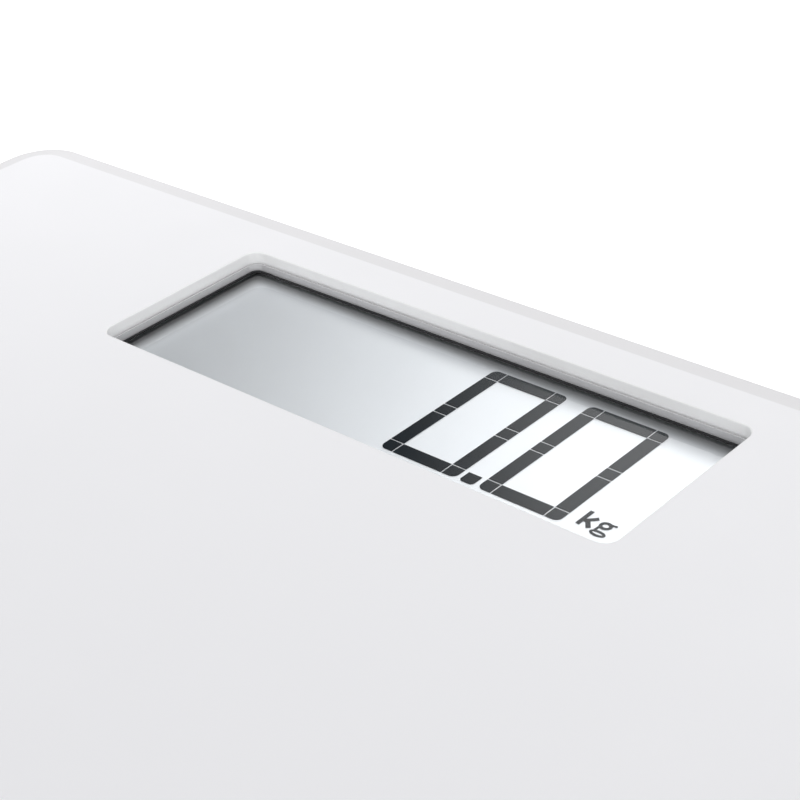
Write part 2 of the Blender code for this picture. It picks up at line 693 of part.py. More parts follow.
def build_battery(door_material, cell_material, contact_material):
    hinge_y = BATTERY_Y - BAY_WIDTH / 2
    door_outline = rounded_rectangle(
        BAY_LENGTH - 2 * GAP,
        BAY_WIDTH - 2 * GAP,
        DOOR_CORNER_RADIUS,
        (BATTERY_X, BATTERY_Y),
        2,
    )
    door_top = FLOOR_BOTTOM + DOOR_THICKNESS
    hinge = (BATTERY_X, hinge_y, FLOOR_BOTTOM)
    door = add_object(
        "battery_door", prism(door_outline, FLOOR_BOTTOM, door_top), door_material, hinge
    )
    tabs = bmesh.new()
    tab_bottom = FLOOR_TOP + GAP
    tab_top = door_tab_top()
    root = hinge_y + GAP
    section = [
        (root, door_top - DOOR_THICKNESS / 2),
        (root + DOOR_TAB_THICKNESS, door_top - DOOR_THICKNESS / 2),
        (root + DOOR_TAB_THICKNESS, tab_top),
        (root - DOOR_TAB_LENGTH, tab_top),
        (root - DOOR_TAB_LENGTH, tab_bottom),
        (root, tab_bottom),
    ]
    for side in (-1, 1):
        middle = BATTERY_X + side * DOOR_TAB_X
        side_profile(section, middle - DOOR_TAB_WIDTH / 2, middle + DOOR_TAB_WIDTH / 2, tabs)
    boolean(door, "UNION", "door_tabs", tabs)

    cell_bottom = FLOOR_TOP + 2 * GAP
    cell_top = cell_bottom + CELL_HEIGHT
    profile = [
        (CELL_RADIUS - CELL_EDGE, cell_bottom),
        (CELL_RADIUS, cell_bottom + CELL_EDGE),
        (CELL_RADIUS, cell_top - CELL_EDGE),
        (CELL_RADIUS - CELL_EDGE, cell_top),
    ]
    add_object("coin_cell", turned(profile, (BATTERY_X, cell_y())), cell_material)

    strip_low = cell_top + GAP
    strip_high = strip_low + CONTACT_THICKNESS
    half = CONTACT_THICKNESS / 2
    tail = contact_tail_x()
    tail_top = BAY_TOP + TAIL_HEIGHT
    reach = CELL_RADIUS + GAP
    negative = [
        (tail["negative"] - half, strip_low),
        (BATTERY_X, strip_low),
        (BATTERY_X, strip_high),
        (tail["negative"] + half, strip_high),
        (tail["negative"] + half, tail_top),
        (tail["negative"] - half, tail_top),
    ]
    positive = [
        (tail["positive"] - half, strip_low),
        (BATTERY_X + reach, strip_low),
        (BATTERY_X + reach, cell_bottom + CELL_HEIGHT / 2),
        (BATTERY_X + reach + CONTACT_THICKNESS, cell_bottom + CELL_HEIGHT / 2),
        (BATTERY_X + reach + CONTACT_THICKNESS, strip_high),
        (tail["positive"] + half, strip_high),
        (tail["positive"] + half, tail_top),
        (tail["positive"] - half, tail_top),
    ]
    for name, section in (("negative", negative), ("positive", positive)):
        strip = side_profile(section, -CONTACT_WIDTH / 2, CONTACT_WIDTH / 2)
        bmesh.ops.rotate(strip, verts=strip.verts, matrix=Matrix.Rotation(-math.pi / 2, 3, "Z"))
        bmesh.ops.translate(strip, verts=strip.verts, vec=(0.0, cell_y(), 0.0))
        add_object(f"battery_contact_{name}", strip, contact_material)


# Feet and load cells


def cover_screw_points(foot):
    return [(foot[0] + side * COVER_SCREW_X, foot[1]) for side in (-1, 1)]


def screw(name, point, seat, length, material, head_up=True):
    """A pan-head screw whose head rests at the height of its seat."""
    sign = 1 if head_up else -1
    profile = [
        (SCREW_SHAFT_RADIUS * SCREW_TIP_SHARE, seat - sign * length),
        (SCREW_SHAFT_RADIUS, seat - sign * (length - SCREW_SHAFT_RADIUS)),
        (SCREW_SHAFT_RADIUS, seat + sign * GAP),
        (SCREW_HEAD_RADIUS, seat + sign * GAP),
        (SCREW_HEAD_RADIUS, seat + sign * (GAP + SCREW_HEAD_HEIGHT / 2)),
        (SCREW_HEAD_RADIUS * SCREW_CROWN_SHARE, seat + sign * (GAP + SCREW_HEAD_HEIGHT)),
    ]
    add_object(name, turned(profile, point, 12), material)


def build_corner(name, foot, inward, materials):
    bottom = FOOT_BOTTOM
    recess = PAD_THICKNESS + GAP
    profile = [
        (PAD_RADIUS + GAP, recess),
        (PAD_RADIUS + GAP, bottom),
        (FOOT_RADIUS - FOOT_CHAMFER, bottom),
        (FOOT_RADIUS, bottom + FOOT_CHAMFER),
        (FOOT_RADIUS, FOOT_TOP - FOOT_CHAMFER),
        (FOOT_RADIUS - FOOT_CHAMFER, FOOT_TOP),
        (FOOT_POST_RADIUS, FOOT_TOP),
        (FOOT_POST_RADIUS, SNAP_BOTTOM),
        (FOOT_POST_RADIUS + FOOT_SNAP, SNAP_BOTTOM),
        (FOOT_POST_RADIUS + FOOT_SNAP, SNAP_BOTTOM + FOOT_SNAP_HEIGHT / 2),
        (FOOT_POST_RADIUS, SNAP_TOP),
    ]
    add_object(f"foot_{name}", turned(profile, foot, 32), materials["plastic"], (*foot, 0.0))
    pad = [
        (PAD_RADIUS - PAD_CHAMFER, 0.0),
        (PAD_RADIUS, PAD_CHAMFER),
        (PAD_RADIUS, PAD_THICKNESS),
    ]
    add_object(f"foot_pad_{name}", turned(pad, foot, 32), materials["rubber"], (*foot, 0.0))

    plate = prism(
        rounded_rectangle(LOAD_CELL_SIZE, LOAD_CELL_SIZE, LOAD_CELL_CORNER_RADIUS, foot, 2),
        LOAD_CELL_BOTTOM,
        LOAD_CELL_TOP,
    )
    load_cell = add_object(f"load_cell_{name}", plate, materials["steel"])
    boolean(load_cell, "DIFFERENCE", f"slot_{name}", load_cell_slot(foot, inward))

    cover_outline = rounded_rectangle(COVER_LENGTH, COVER_WIDTH, COVER_CORNER_RADIUS, foot, 3)
    cover = add_object(
        f"load_cell_cover_{name}",
        prism(cover_outline, COVER_BOTTOM, COVER_TOP),
        materials["cover"],
    )
    cut = (COVER_BOTTOM - CUT_MARGIN, COVER_TOP + CUT_MARGIN)
    holes = prism(circle(COVER_HOLE_RADIUS, foot), *cut)
    for post in cover_screw_points(foot):
        hole = circle(SCREW_SHAFT_RADIUS + SCREW_HOLE_CLEARANCE, post, 16)
        prism(hole, *cut, holes)
    boolean(cover, "DIFFERENCE", f"cover_holes_{name}", holes)
    length = COVER_TOP - FLOOR_TOP - SCREW_TIP_CLEARANCE
    for side, post in zip(("left", "right"), cover_screw_points(foot)):
        screw(f"cover_screw_{name}_{side}", post, COVER_TOP, length, materials["screw"])


def load_cell_slot(foot, inward):
    """The U-shaped slot that frees the load cell's tongue, open towards the platform's middle."""
    outer = LOAD_CELL_SIZE / 2 - LOAD_CELL_RIM
    inner = LOAD_CELL_TONGUE / 2
    outline = [
        (outer, -outer),
        (outer, outer),
        (-outer, outer),
        (-outer, inner),
        (-outer + LOAD_CELL_SLOT, inner),
        (-outer + LOAD_CELL_SLOT, outer - LOAD_CELL_SLOT),
        (outer - LOAD_CELL_SLOT, outer - LOAD_CELL_SLOT),
        (outer - LOAD_CELL_SLOT, -outer + LOAD_CELL_SLOT),
        (-outer + LOAD_CELL_SLOT, -outer + LOAD_CELL_SLOT),
        (-outer + LOAD_CELL_SLOT, -inner),
        (-outer, -inner),
        (-outer, -outer),
    ]
    placed = [(foot[0] - inward * x, foot[1] + y) for x, y in outline]
    if inward > 0:
        placed.reverse()
    return prism(placed, LOAD_CELL_BOTTOM - CUT_MARGIN, LOAD_CELL_TOP + CUT_MARGIN)


# Leads


def lead_x():
    """How far from the middle the front load cells' leads run along the housing."""
    return FOOT_X - COVER_LENGTH / 2 - LEAD_FROM_COVER


def smooth_points(points, spacing):
    """Points of a Catmull-Rom curve through the route's own points."""
    route = [Vector(point) for point in points]
    ends = [2 * route[0] - route[1]] + route + [2 * route[-1] - route[-2]]
    result = []
    for a, b, c, d in zip(ends, ends[1:], ends[2:], ends[3:]):
        steps = max(1, round((c - b).length / spacing))
        for step in range(steps):
            t = step / steps
            result.append(
                0.5
                * (
                    2 * b
                    + (c - a) * t
                    + (2 * a - 5 * b + 4 * c - d) * t**2
                    + (3 * b - a - 3 * c + d) * t**3
                )
            )
    result.append(route[-1])
    return result


def build_lead(name, points, radius, material, spacing):
    curve = bpy.data.curves.new(name, "CURVE")
    curve.dimensions = "3D"
    curve.bevel_depth = radius
    curve.bevel_resolution = 1
    curve.use_fill_caps = True
    route = smooth_points(points, spacing)
    spline = curve.splines.new("POLY")
    spline.points.add(len(route) - 1)
    for target, point in zip(spline.points, route):
        target.co = (*point, 1.0)
    curve.materials.append(material)
    item = bpy.data.objects.new(name, curve)
    bpy.context.collection.objects.link(item)


def build_leads(material, red, black):
    low = FLOOR_TOP + GAP + LEAD_RADIUS + LEAD_LIFT
    board = PCB_BOTTOM + PCB_THICKNESS / 2
    below_board = board - LEAD_END_LIFT
    start_x = FOOT_X - LOAD_CELL_SIZE / 2 - GAP
    start_y = COVER_SCREW_X / 4 + POST_RADIUS
    start_z = LOAD_CELL_BOTTOM + LOAD_CELL_THICKNESS / 2
    dip_z = start_z - LEAD_DIP
    run_x = lead_x()
    board_x = PCB_LENGTH / 2 + GAP
    board_front = WINDOW_Y - PCB_WIDTH / 2
    plug_y = board_front - GAP
    turn_y = WINDOW_Y - HOLDER_DEPTH / 2 - RIB_END_BEFORE_HOLDER / 2
    for name, (side_x, side_y) in CORNERS.items():
        if side_y < 0:
            y = start_y - FOOT_Y
            route = [
                (start_x, y, start_z),
                (start_x - LEAD_EXIT[0], y + LEAD_EXIT[1], dip_z),
                (run_x, y + LEAD_DESCENT, low),
                *[(run_x, rib_y, low) for rib_y in RIB_Y],
                (run_x, turn_y - LEAD_TURN_BEGIN, low),
                (run_x - LEAD_TURN_MIDDLE[0], turn_y - LEAD_TURN_MIDDLE[1], low),
                (RIB_X + LEAD_PAST_RIB, turn_y, low + LEAD_END_LIFT),
                (RIB_X - LEAD_INSIDE_RIB[0], turn_y, below_board),
                (RIB_X - LEAD_INSIDE_RIB[1], plug_y - LEAD_PLUG[0], board),
                (RIB_X - LEAD_INSIDE_RIB[1], plug_y, board),
            ]
        else:
            begin_y = FOOT_Y - start_y
            y = board_front + REAR_LEAD_FROM_BOARD_FRONT
            route = [
                (start_x, begin_y, start_z),
                (start_x - REAR_LEAD_EXIT[0], begin_y, dip_z),
                (start_x - REAR_LEAD_EXIT[1], (begin_y + y) / 2, low + LEAD_END_LIFT),
                (board_x + LEAD_PLUG[2], y, below_board),
                (board_x + LEAD_PLUG[1], y, board),
                (board_x, y, board),
            ]
        placed = [(side_x * x, y, z) for x, y, z in route]
        build_lead(f"load_cell_lead_{name}", placed, LEAD_RADIUS, material, LEAD_SPACING)

    height = BAY_TOP + TAIL_HEIGHT - BATTERY_LEAD_BELOW_TAIL_TOP
    aside, y = BATTERY_LEAD_SIDE, cell_y()
    for name, x in contact_tail_x().items():
        side = math.copysign(1.0, x - BATTERY_X)
        begin = x + side * (CONTACT_THICKNESS / 2 + GAP)
        route = [
            (begin, y, height),
            (begin + side * aside[0], y, height),
            (begin + side * aside[1], y + BATTERY_LEAD_AHEAD[0], height + LEAD_DIP),
            (begin + side * aside[1], y + BATTERY_LEAD_AHEAD[1], height),
            (begin + side * aside[2], board_front - BATTERY_LEAD_AHEAD[2], board),
            (begin + side * aside[2], plug_y, board),
        ]
        colour = red if name == "positive" else black
        build_lead(
            f"battery_lead_{name}", route, BATTERY_LEAD_RADIUS, colour, BATTERY_LEAD_SPACING
        )


def main():
    clear_scene()
    glass = make_material("white_glass", (0.86, 0.865, 0.87), 0.12)
    white = make_material("white_plastic", (0.80, 0.80, 0.80), 0.4)
    black_foam = make_material("black_foam", (0.02, 0.02, 0.02), 0.9)
    seal = make_material("clear_silicone", (0.75, 0.75, 0.75), 0.5)
    lcd = make_material("lcd_glass", (0.62, 0.66, 0.70), 0.1)
    reflector = make_material("reflector_film", (0.80, 0.82, 0.85), 0.3, 0.8)
    zebra = make_material("zebra_rubber", (0.85, 0.55, 0.55), 0.7)
    holder = make_material("holder_plastic", (0.04, 0.04, 0.045), 0.5)
    board = make_material("circuit_board", (0.02, 0.20, 0.08), 0.4)
    chip = make_material("chip_resin", (0.03, 0.03, 0.03), 0.5)
    base = make_material("base_plastic", (0.72, 0.73, 0.74), 0.45)
    rubber = make_material("foot_rubber", (0.10, 0.10, 0.10), 0.85)
    steel = make_material("load_cell_steel", (0.55, 0.56, 0.58), 0.35, 1.0)
    screw_steel = make_material("screw_steel", (0.65, 0.65, 0.66), 0.3, 1.0)
    lead = make_material("lead_sleeve", (0.55, 0.55, 0.56), 0.5)
    red = make_material("lead_red", (0.60, 0.03, 0.02), 0.5)
    black = make_material("lead_black", (0.02, 0.02, 0.02), 0.5)

    build_glass(glass)
    build_window_rings(white, black_foam)
    build_seal(seal)
    build_lcd(lcd, reflector, zebra)
    build_holder(holder)
    build_electronics(board, chip, chip)
    build_button(base)
    build_housing(base)
    build_battery(base, screw_steel, steel)
    corner_materials = {
        "plastic": base,
        "rubber": rubber,
        "steel": steel,
        "cover": white,
        "screw": screw_steel,
    }
    for name, (side_x, side_y) in CORNERS.items():
        foot = (side_x * FOOT_X, side_y * FOOT_Y)
        build_corner(name, foot, -side_x, corner_materials)
    ear_top = HOLDER_BOTTOM + HOLDER_EAR_RISE + HOLDER_EAR_THICKNESS
    for side, point in holder_screw_points().items():
        length = ear_top - FLOOR_TOP - SCREW_TIP_CLEARANCE
        screw(f"holder_screw_{side}", point, ear_top, length, screw_steel)
    for side, point in pcb_screw_points().items():
        length = HOLDER_FLOOR_TOP - PILOT_ROOF - SCREW_TIP_CLEARANCE - PCB_BOTTOM
        screw(f"pcb_screw_{side}", point, PCB_BOTTOM, length, screw_steel, head_up=False)
    build_leads(lead, red, black)


main()
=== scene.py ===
import math

import bmesh
import bpy
from mathutils import Matrix, Vector


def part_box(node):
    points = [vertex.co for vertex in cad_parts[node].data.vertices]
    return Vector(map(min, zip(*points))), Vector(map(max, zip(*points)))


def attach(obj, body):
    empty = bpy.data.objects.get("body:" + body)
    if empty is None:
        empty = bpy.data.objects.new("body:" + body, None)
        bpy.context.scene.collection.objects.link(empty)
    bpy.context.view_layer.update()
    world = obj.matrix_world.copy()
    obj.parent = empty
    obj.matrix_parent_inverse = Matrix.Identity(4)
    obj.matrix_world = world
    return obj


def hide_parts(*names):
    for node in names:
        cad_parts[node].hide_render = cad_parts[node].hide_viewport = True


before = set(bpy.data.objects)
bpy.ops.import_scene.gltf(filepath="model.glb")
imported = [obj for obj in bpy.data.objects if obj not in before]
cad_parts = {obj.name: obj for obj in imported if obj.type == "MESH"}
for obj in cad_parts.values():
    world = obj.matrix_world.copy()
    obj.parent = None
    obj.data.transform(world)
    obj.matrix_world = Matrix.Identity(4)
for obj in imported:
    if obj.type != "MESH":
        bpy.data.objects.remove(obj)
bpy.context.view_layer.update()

scene = bpy.context.scene
cornerBreak = 0.3  # where a soft edge has its middle outline, as a share of its size
touchGap = 0.0003  # what the solids keep between pieces that touch
mergeDistance = 1e-7
print("frame loaded")


camera = {
    "place": (0.2185, -0.1032, 0.2044),
    "right": (0.73967, 0.66828, -0.07927),
    "up": (-0.29489, 0.42774, 0.85444),
    "forward": (-0.60492, 0.60863, -0.51346),
    "lens": 84.9,
    "sensor": 36.0,
    "clip": (0.01, 20.0),
}


def makeCamera(values):
    data = bpy.data.cameras.new("camera")
    data.lens = values["lens"]
    data.sensor_width = values["sensor"]
    data.clip_start, data.clip_end = values["clip"]
    item = bpy.data.objects.new("camera", data)
    scene.collection.objects.link(item)
    turn = Matrix((values["right"], values["up"], [-a for a in values["forward"]])).transposed()
    item.matrix_world = Matrix.Translation(values["place"]) @ turn.to_4x4()
    scene.camera = item


room = {
    "backdrop": (1.0, 1.0, 1.0, 1.0),
    "ambient": 0.42,
    "lobes": {
        "softboxBehind": {"towards": (-0.21, 0.79, 0.574), "edges": (0.90, 0.955), "strength": 1.95},
        "overhead": {"towards": (0.0, 0.0, 1.0), "edges": (0.6, 0.9), "strength": 0.03},
        "cameraSide": {"towards": (0.6, -0.7, 0.1), "edges": (-0.3, 0.8), "strength": 1.1},
        "lowFlag": {"towards": (-0.80, 0.54, 0.22), "edges": (0.78, 0.97), "strength": -0.12},
        "darkFlag": {"towards": (-0.74, 0.48, 0.47), "edges": (0.93, 0.985), "strength": -0.08},
    },
}


def makeWorld(values):
    world = bpy.data.worlds.new("studio")
    scene.world = world
    world.use_nodes = True
    nodes, links = world.node_tree.nodes, world.node_tree.links
    nodes.clear()
    coords = nodes.new("ShaderNodeTexCoord")
    level = nodes.new("ShaderNodeValue")
    level.outputs[0].default_value = values["ambient"]
    total = level.outputs[0]
    # each lobe adds light round one direction, fading between the two cosines of its edges
    for lobe in values["lobes"].values():
        towards = nodes.new("ShaderNodeVectorMath")
        towards.operation = "DOT_PRODUCT"
        towards.inputs[1].default_value = Vector(lobe["towards"]).normalized()
        spread = nodes.new("ShaderNodeMapRange")
        spread.interpolation_type = "SMOOTHSTEP"
        spread.inputs["From Min"].default_value = lobe["edges"][0]
        spread.inputs["From Max"].default_value = lobe["edges"][1]
        spread.inputs["To Max"].default_value = lobe["strength"]
        added = nodes.new("ShaderNodeMath")
        added.operation = "ADD"
        links.new(coords.outputs["Generated"], towards.inputs[0])
        links.new(towards.outputs["Value"], spread.inputs["Value"])
        links.new(spread.outputs["Result"], added.inputs[0])
        links.new(total, added.inputs[1])
        total = added.outputs[0]
    light = nodes.new("ShaderNodeBackground")
    seen = nodes.new("ShaderNodeBackground")
    seen.inputs["Color"].default_value = values["backdrop"]
    path = nodes.new("ShaderNodeLightPath")
    mix = nodes.new("ShaderNodeMixShader")
    output = nodes.new("ShaderNodeOutputWorld")
    links.new(total, light.inputs["Strength"])
    links.new(path.outputs["Is Camera Ray"], mix.inputs["Fac"])
    links.new(light.outputs[0], mix.inputs[1])
    links.new(seen.outputs[0], mix.inputs[2])
    links.new(mix.outputs[0], output.inputs["Surface"])


lamps = {
    "windowSide": {"place": (-0.30, 0.31, 0.30), "size": 0.25, "power": 0.72},
}


def makeLamps(values):
    for name, lamp in values.items():
        data = bpy.data.lights.new(name, "AREA")
        data.energy = lamp["power"]
        data.size = lamp["size"]
        item = bpy.data.objects.new(name, data)
        scene.collection.objects.link(item)
        item.location = lamp["place"]
        item.rotation_euler = (-Vector(lamp["place"])).to_track_quat("-Z", "Y").to_euler()
        item.visible_glossy = False


makeCamera(camera)
makeWorld(room)
makeLamps(lamps)
scene.view_settings.view_transform = "Standard"
print("camera and light made")


def newGroup(name, inputs, outputs):
    group = bpy.data.node_groups.new(name, "ShaderNodeTree")
    for label, kind, value in inputs:
        socket = group.interface.new_socket(name=label, in_out="INPUT", socket_type=kind)
        socket.default_value = value
    for label, kind in outputs:
        group.interface.new_socket(name=label, in_out="OUTPUT", socket_type=kind)
    return group, group.nodes.new("NodeGroupInput"), group.nodes.new("NodeGroupOutput")


def makeGrainGroup():
    group, given, result = newGroup(
        "mouldGrain",
        (("Position", "NodeSocketVector", (0, 0, 0)), ("Scale", "NodeSocketFloat", 900.0)),
        (("Height", "NodeSocketFloat"),),
    )
    noise = group.nodes.new("ShaderNodeTexNoise")
    noise.inputs["Detail"].default_value = 3.0
    noise.inputs["Roughness"].default_value = 0.6
    group.links.new(given.outputs["Position"], noise.inputs["Vector"])
    group.links.new(given.outputs["Scale"], noise.inputs["Scale"])
    group.links.new(noise.outputs["Fac"], result.inputs["Height"])
    return group


def makeMottleGroup():
    group, given, result = newGroup(
        "mottle",
        (
            ("Position", "NodeSocketVector", (0, 0, 0)),
            ("Scale", "NodeSocketFloat", 40.0),
            ("Low", "NodeSocketFloat", 0.4),
            ("High", "NodeSocketFloat", 0.5),
        ),
        (("Value", "NodeSocketFloat"),),
    )
    noise = group.nodes.new("ShaderNodeTexNoise")
    noise.inputs["Detail"].default_value = 5.0
    spread = group.nodes.new("ShaderNodeMapRange")
    spread.inputs["From Min"].default_value = 0.3
    spread.inputs["From Max"].default_value = 0.7
    group.links.new(given.outputs["Position"], noise.inputs["Vector"])
    group.links.new(given.outputs["Scale"], noise.inputs["Scale"])
    group.links.new(noise.outputs["Fac"], spread.inputs["Value"])
    group.links.new(given.outputs["Low"], spread.inputs["To Min"])
    group.links.new(given.outputs["High"], spread.inputs["To Max"])
    group.links.new(spread.outputs["Result"], result.inputs["Value"])
    return group


def makeBrushGroup():
    # fine parallel scratches, long along one axis
    group, given, result = newGroup(
        "brushedLines",
        (
            ("Position", "NodeSocketVector", (0, 0, 0)),
            ("Stretch", "NodeSocketVector", (400.0, 9000.0, 9000.0)),
            ("Low", "NodeSocketFloat", 0.2),
            ("High", "NodeSocketFloat", 0.4),
        ),
        (("Height", "NodeSocketFloat"), ("Value", "NodeSocketFloat")),
    )
    spread = group.nodes.new("ShaderNodeVectorMath")
    spread.operation = "MULTIPLY"
    noise = group.nodes.new("ShaderNodeTexNoise")
    noise.inputs["Scale"].default_value = 1.0
    noise.inputs["Detail"].default_value = 4.0
    ranged = group.nodes.new("ShaderNodeMapRange")
    ranged.inputs["From Min"].default_value = 0.3
    ranged.inputs["From Max"].default_value = 0.7
    links = group.links
    links.new(given.outputs["Position"], spread.inputs[0])
    links.new(given.outputs["Stretch"], spread.inputs[1])
    links.new(spread.outputs["Vector"], noise.inputs["Vector"])
    links.new(noise.outputs["Fac"], ranged.inputs["Value"])
    links.new(given.outputs["Low"], ranged.inputs["To Min"])
    links.new(given.outputs["High"], ranged.inputs["To Max"])
    links.new(noise.outputs["Fac"], result.inputs["Height"])
    links.new(ranged.outputs["Result"], result.inputs["Value"])
    return group


grainGroup = makeGrainGroup()
mottleGroup = makeMottleGroup()
brushGroup = makeBrushGroup()


def newMaterial(name, roughness=0.5, metallic=0.0, colour=(0.8, 0.8, 0.8)):
    material = bpy.data.materials.new(name)
    material.use_nodes = True
    shader = material.node_tree.nodes["Principled BSDF"]
    shader.inputs["Base Color"].default_value = (*colour, 1.0)
    shader.inputs["Roughness"].default_value = roughness
    shader.inputs["Metallic"].default_value = metallic
    coords = material.node_tree.nodes.new("ShaderNodeTexCoord")
    return material, shader, coords


def useGroup(material, group, **values):
    node = material.node_tree.nodes.new("ShaderNodeGroup")
    node.node_tree = group
    for label, value in values.items():
        node.inputs[label].default_value = value
    return node


def colourBlend(material, first, second, factor, target):
    tree = material.node_tree
    mix = tree.nodes.new("ShaderNodeMix")
    mix.data_type = "RGBA"
    mix.inputs["A"].default_value = (*first, 1.0)
    mix.inputs["B"].default_value = (*second, 1.0)
    tree.links.new(factor, mix.inputs["Factor"])
    tree.links.new(mix.outputs["Result"], target)
    return mix


def addBump(material, shader, height, strength, distance):
    tree = material.node_tree
    bump = tree.nodes.new("ShaderNodeBump")
    bump.inputs["Strength"].default_value = strength
    bump.inputs["Distance"].default_value = distance
    tree.links.new(height, bump.inputs["Height"])
    tree.links.new(bump.outputs["Normal"], shader.inputs["Normal"])


moulding = {"mottleScale": 35.0, "glossScale": 160.0, "bump": 0.5}


def mouldedMaterial(name, light, dark, roughness, grainScale=1400.0, grainDepth=0.00002):
    material, shader, coords = newMaterial(name, roughness[0], 0.0, light)
    links = material.node_tree.links
    mottle = useGroup(material, mottleGroup, Scale=moulding["mottleScale"], Low=0.0, High=1.0)
    gloss = useGroup(
        material, mottleGroup, Scale=moulding["glossScale"], Low=roughness[0], High=roughness[1]
    )
    grain = useGroup(material, grainGroup, Scale=grainScale)
    for node in (mottle, gloss, grain):
        links.new(coords.outputs["Object"], node.inputs["Position"])
    colourBlend(material, light, dark, mottle.outputs["Value"], shader.inputs["Base Color"])
    links.new(gloss.outputs["Value"], shader.inputs["Roughness"])
    addBump(material, shader, grain.outputs["Height"], moulding["bump"], grainDepth)
    return material


def roundedFace(bm, low, high, height, radius, segments):
    before = set(bm.faces)
    corners = [
        bm.verts.new((x, y, height))
        for x, y in ((low[0], low[1]), (high[0], low[1]), (high[0], high[1]), (low[0], high[1]))
    ]
    bm.faces.new(corners)
    if radius > 0:
        bmesh.ops.bevel(
            bm, geom=corners, offset=radius, segments=segments,
            profile=0.5, affect="VERTICES", material=-1,
        )
    return [face for face in bm.faces if face not in before][0]


def joinLoops(bm, first, second):
    # level outlines are filled between, the others are bridged
    drop = abs(first[0].verts[0].co.z - second[0].verts[0].co.z)
    if drop < mergeDistance:
        bmesh.ops.triangle_fill(bm, use_beauty=True, use_dissolve=False, edges=first + second)
    else:
        bmesh.ops.bridge_loops(bm, edges=first + second)


def stackOutlines(bm, levels, segments, closed=False):
    # each level is (low, high, height, corner radius)
    faces = [roundedFace(bm, *level, segments) for level in levels]
    loops = [list(face.edges) for face in faces]
    spare = faces if closed else faces[1:-1]
    bmesh.ops.delete(bm, geom=spare, context="FACES_ONLY")
    for first, second in zip(loops, loops[1:]):
        joinLoops(bm, first, second)
    if closed:
        joinLoops(bm, loops[-1], loops[0])


def insetLevels(low, high, steps):
    # each step is (inset from the outline, height, corner radius)
    return [
        ((low[0] + a, low[1] + a), (high[0] - a, high[1] - a), height, radius)
        for a, height, radius in steps
    ]


def finishPiece(name, bm, material, body="base", replaced=(), sharp=None):
    bmesh.ops.remove_doubles(bm, verts=bm.verts, dist=mergeDistance)
    bmesh.ops.recalc_face_normals(bm, faces=bm.faces)
    mesh = bpy.data.meshes.new(name)
    bm.to_mesh(mesh)
    bm.free()
    mesh.materials.append(material)
    piece = bpy.data.objects.new(name, mesh)
    scene.collection.objects.link(piece)
    if sharp is not None:
        mesh.shade_smooth()
        mesh.set_sharp_from_angle(angle=math.radians(sharp))
        weighted = piece.modifiers.new("weightedNormals", "WEIGHTED_NORMAL")
        weighted.keep_sharp = True
        weighted.weight = 100
    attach(piece, body)
    if replaced:
        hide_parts(*replaced)


def dress(material, *nodes):
    for name in nodes:
        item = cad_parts[name]
        item.data.materials.clear()
        item.data.materials.append(material)


platform = {
    "corner": 0.011,
    "bevelWidth": 0.0048,
    "bevelDrop": 0.0006,
    "arris": 0.0003,
    "windowCorner": 0.003,
    "windowArris": 0.00027,
    "shoulderBreak": 0.25,  # shares of the arris at the shoulder's and the crown's extra outlines
    "crownBreak": 0.12,
    "segments": 20,
    "white": (0.862, 0.862, 0.885),
    "rim": (0.772, 0.766, 0.782),
    # painted light: upright faces are whiter than the top, standing in for light glowing through the
    # glass edges
    "edge": (0.95, 0.955, 0.96),
    "level": (0.9935, 0.9990),  # how upright a face's normal is where white takes over
    "slope": (0.90, 0.985),  # and where the polished edges end, whose whiter colour is painted light for the glow through the glass
    "roughness": (0.40, 0.48),
    "mottleScale": 60.0,
}


def makePlatformMaterial(values):
    dull, duller = values["roughness"]
    material, shader, coords = newMaterial("coatedGlass", dull, 0.0, values["white"])
    tree = material.node_tree
    geometry = tree.nodes.new("ShaderNodeNewGeometry")
    split = tree.nodes.new("ShaderNodeSeparateXYZ")
    tree.links.new(geometry.outputs["Normal"], split.inputs[0])
    upright = tree.nodes.new("ShaderNodeMath")
    upright.operation = "ABSOLUTE"
    tree.links.new(split.outputs["Z"], upright.inputs[0])

    def band(low, high):
        node = tree.nodes.new("ShaderNodeMapRange")
        node.interpolation_type = "SMOOTHSTEP"
        node.inputs["From Min"].default_value = low
        node.inputs["From Max"].default_value = high
        tree.links.new(upright.outputs[0], node.inputs["Value"])
        return node.outputs["Result"]

    target = shader.inputs["Base Color"]
    face = colourBlend(material, values["rim"], values["white"], band(*values["level"]), target)
    # painted light: faces that stand upright take the whiter edge colour, for the glow of the glass
    # edges
    paintedEdgeGlow = colourBlend(material, values["edge"], values["white"], band(*values["slope"]), target)
    tree.links.new(face.outputs["Result"], paintedEdgeGlow.inputs["B"])
    gloss = useGroup(material, mottleGroup, Scale=values["mottleScale"], Low=dull, High=duller)
    tree.links.new(coords.outputs["Object"], gloss.inputs["Position"])
    tree.links.new(gloss.outputs["Value"], shader.inputs["Roughness"])
    return material


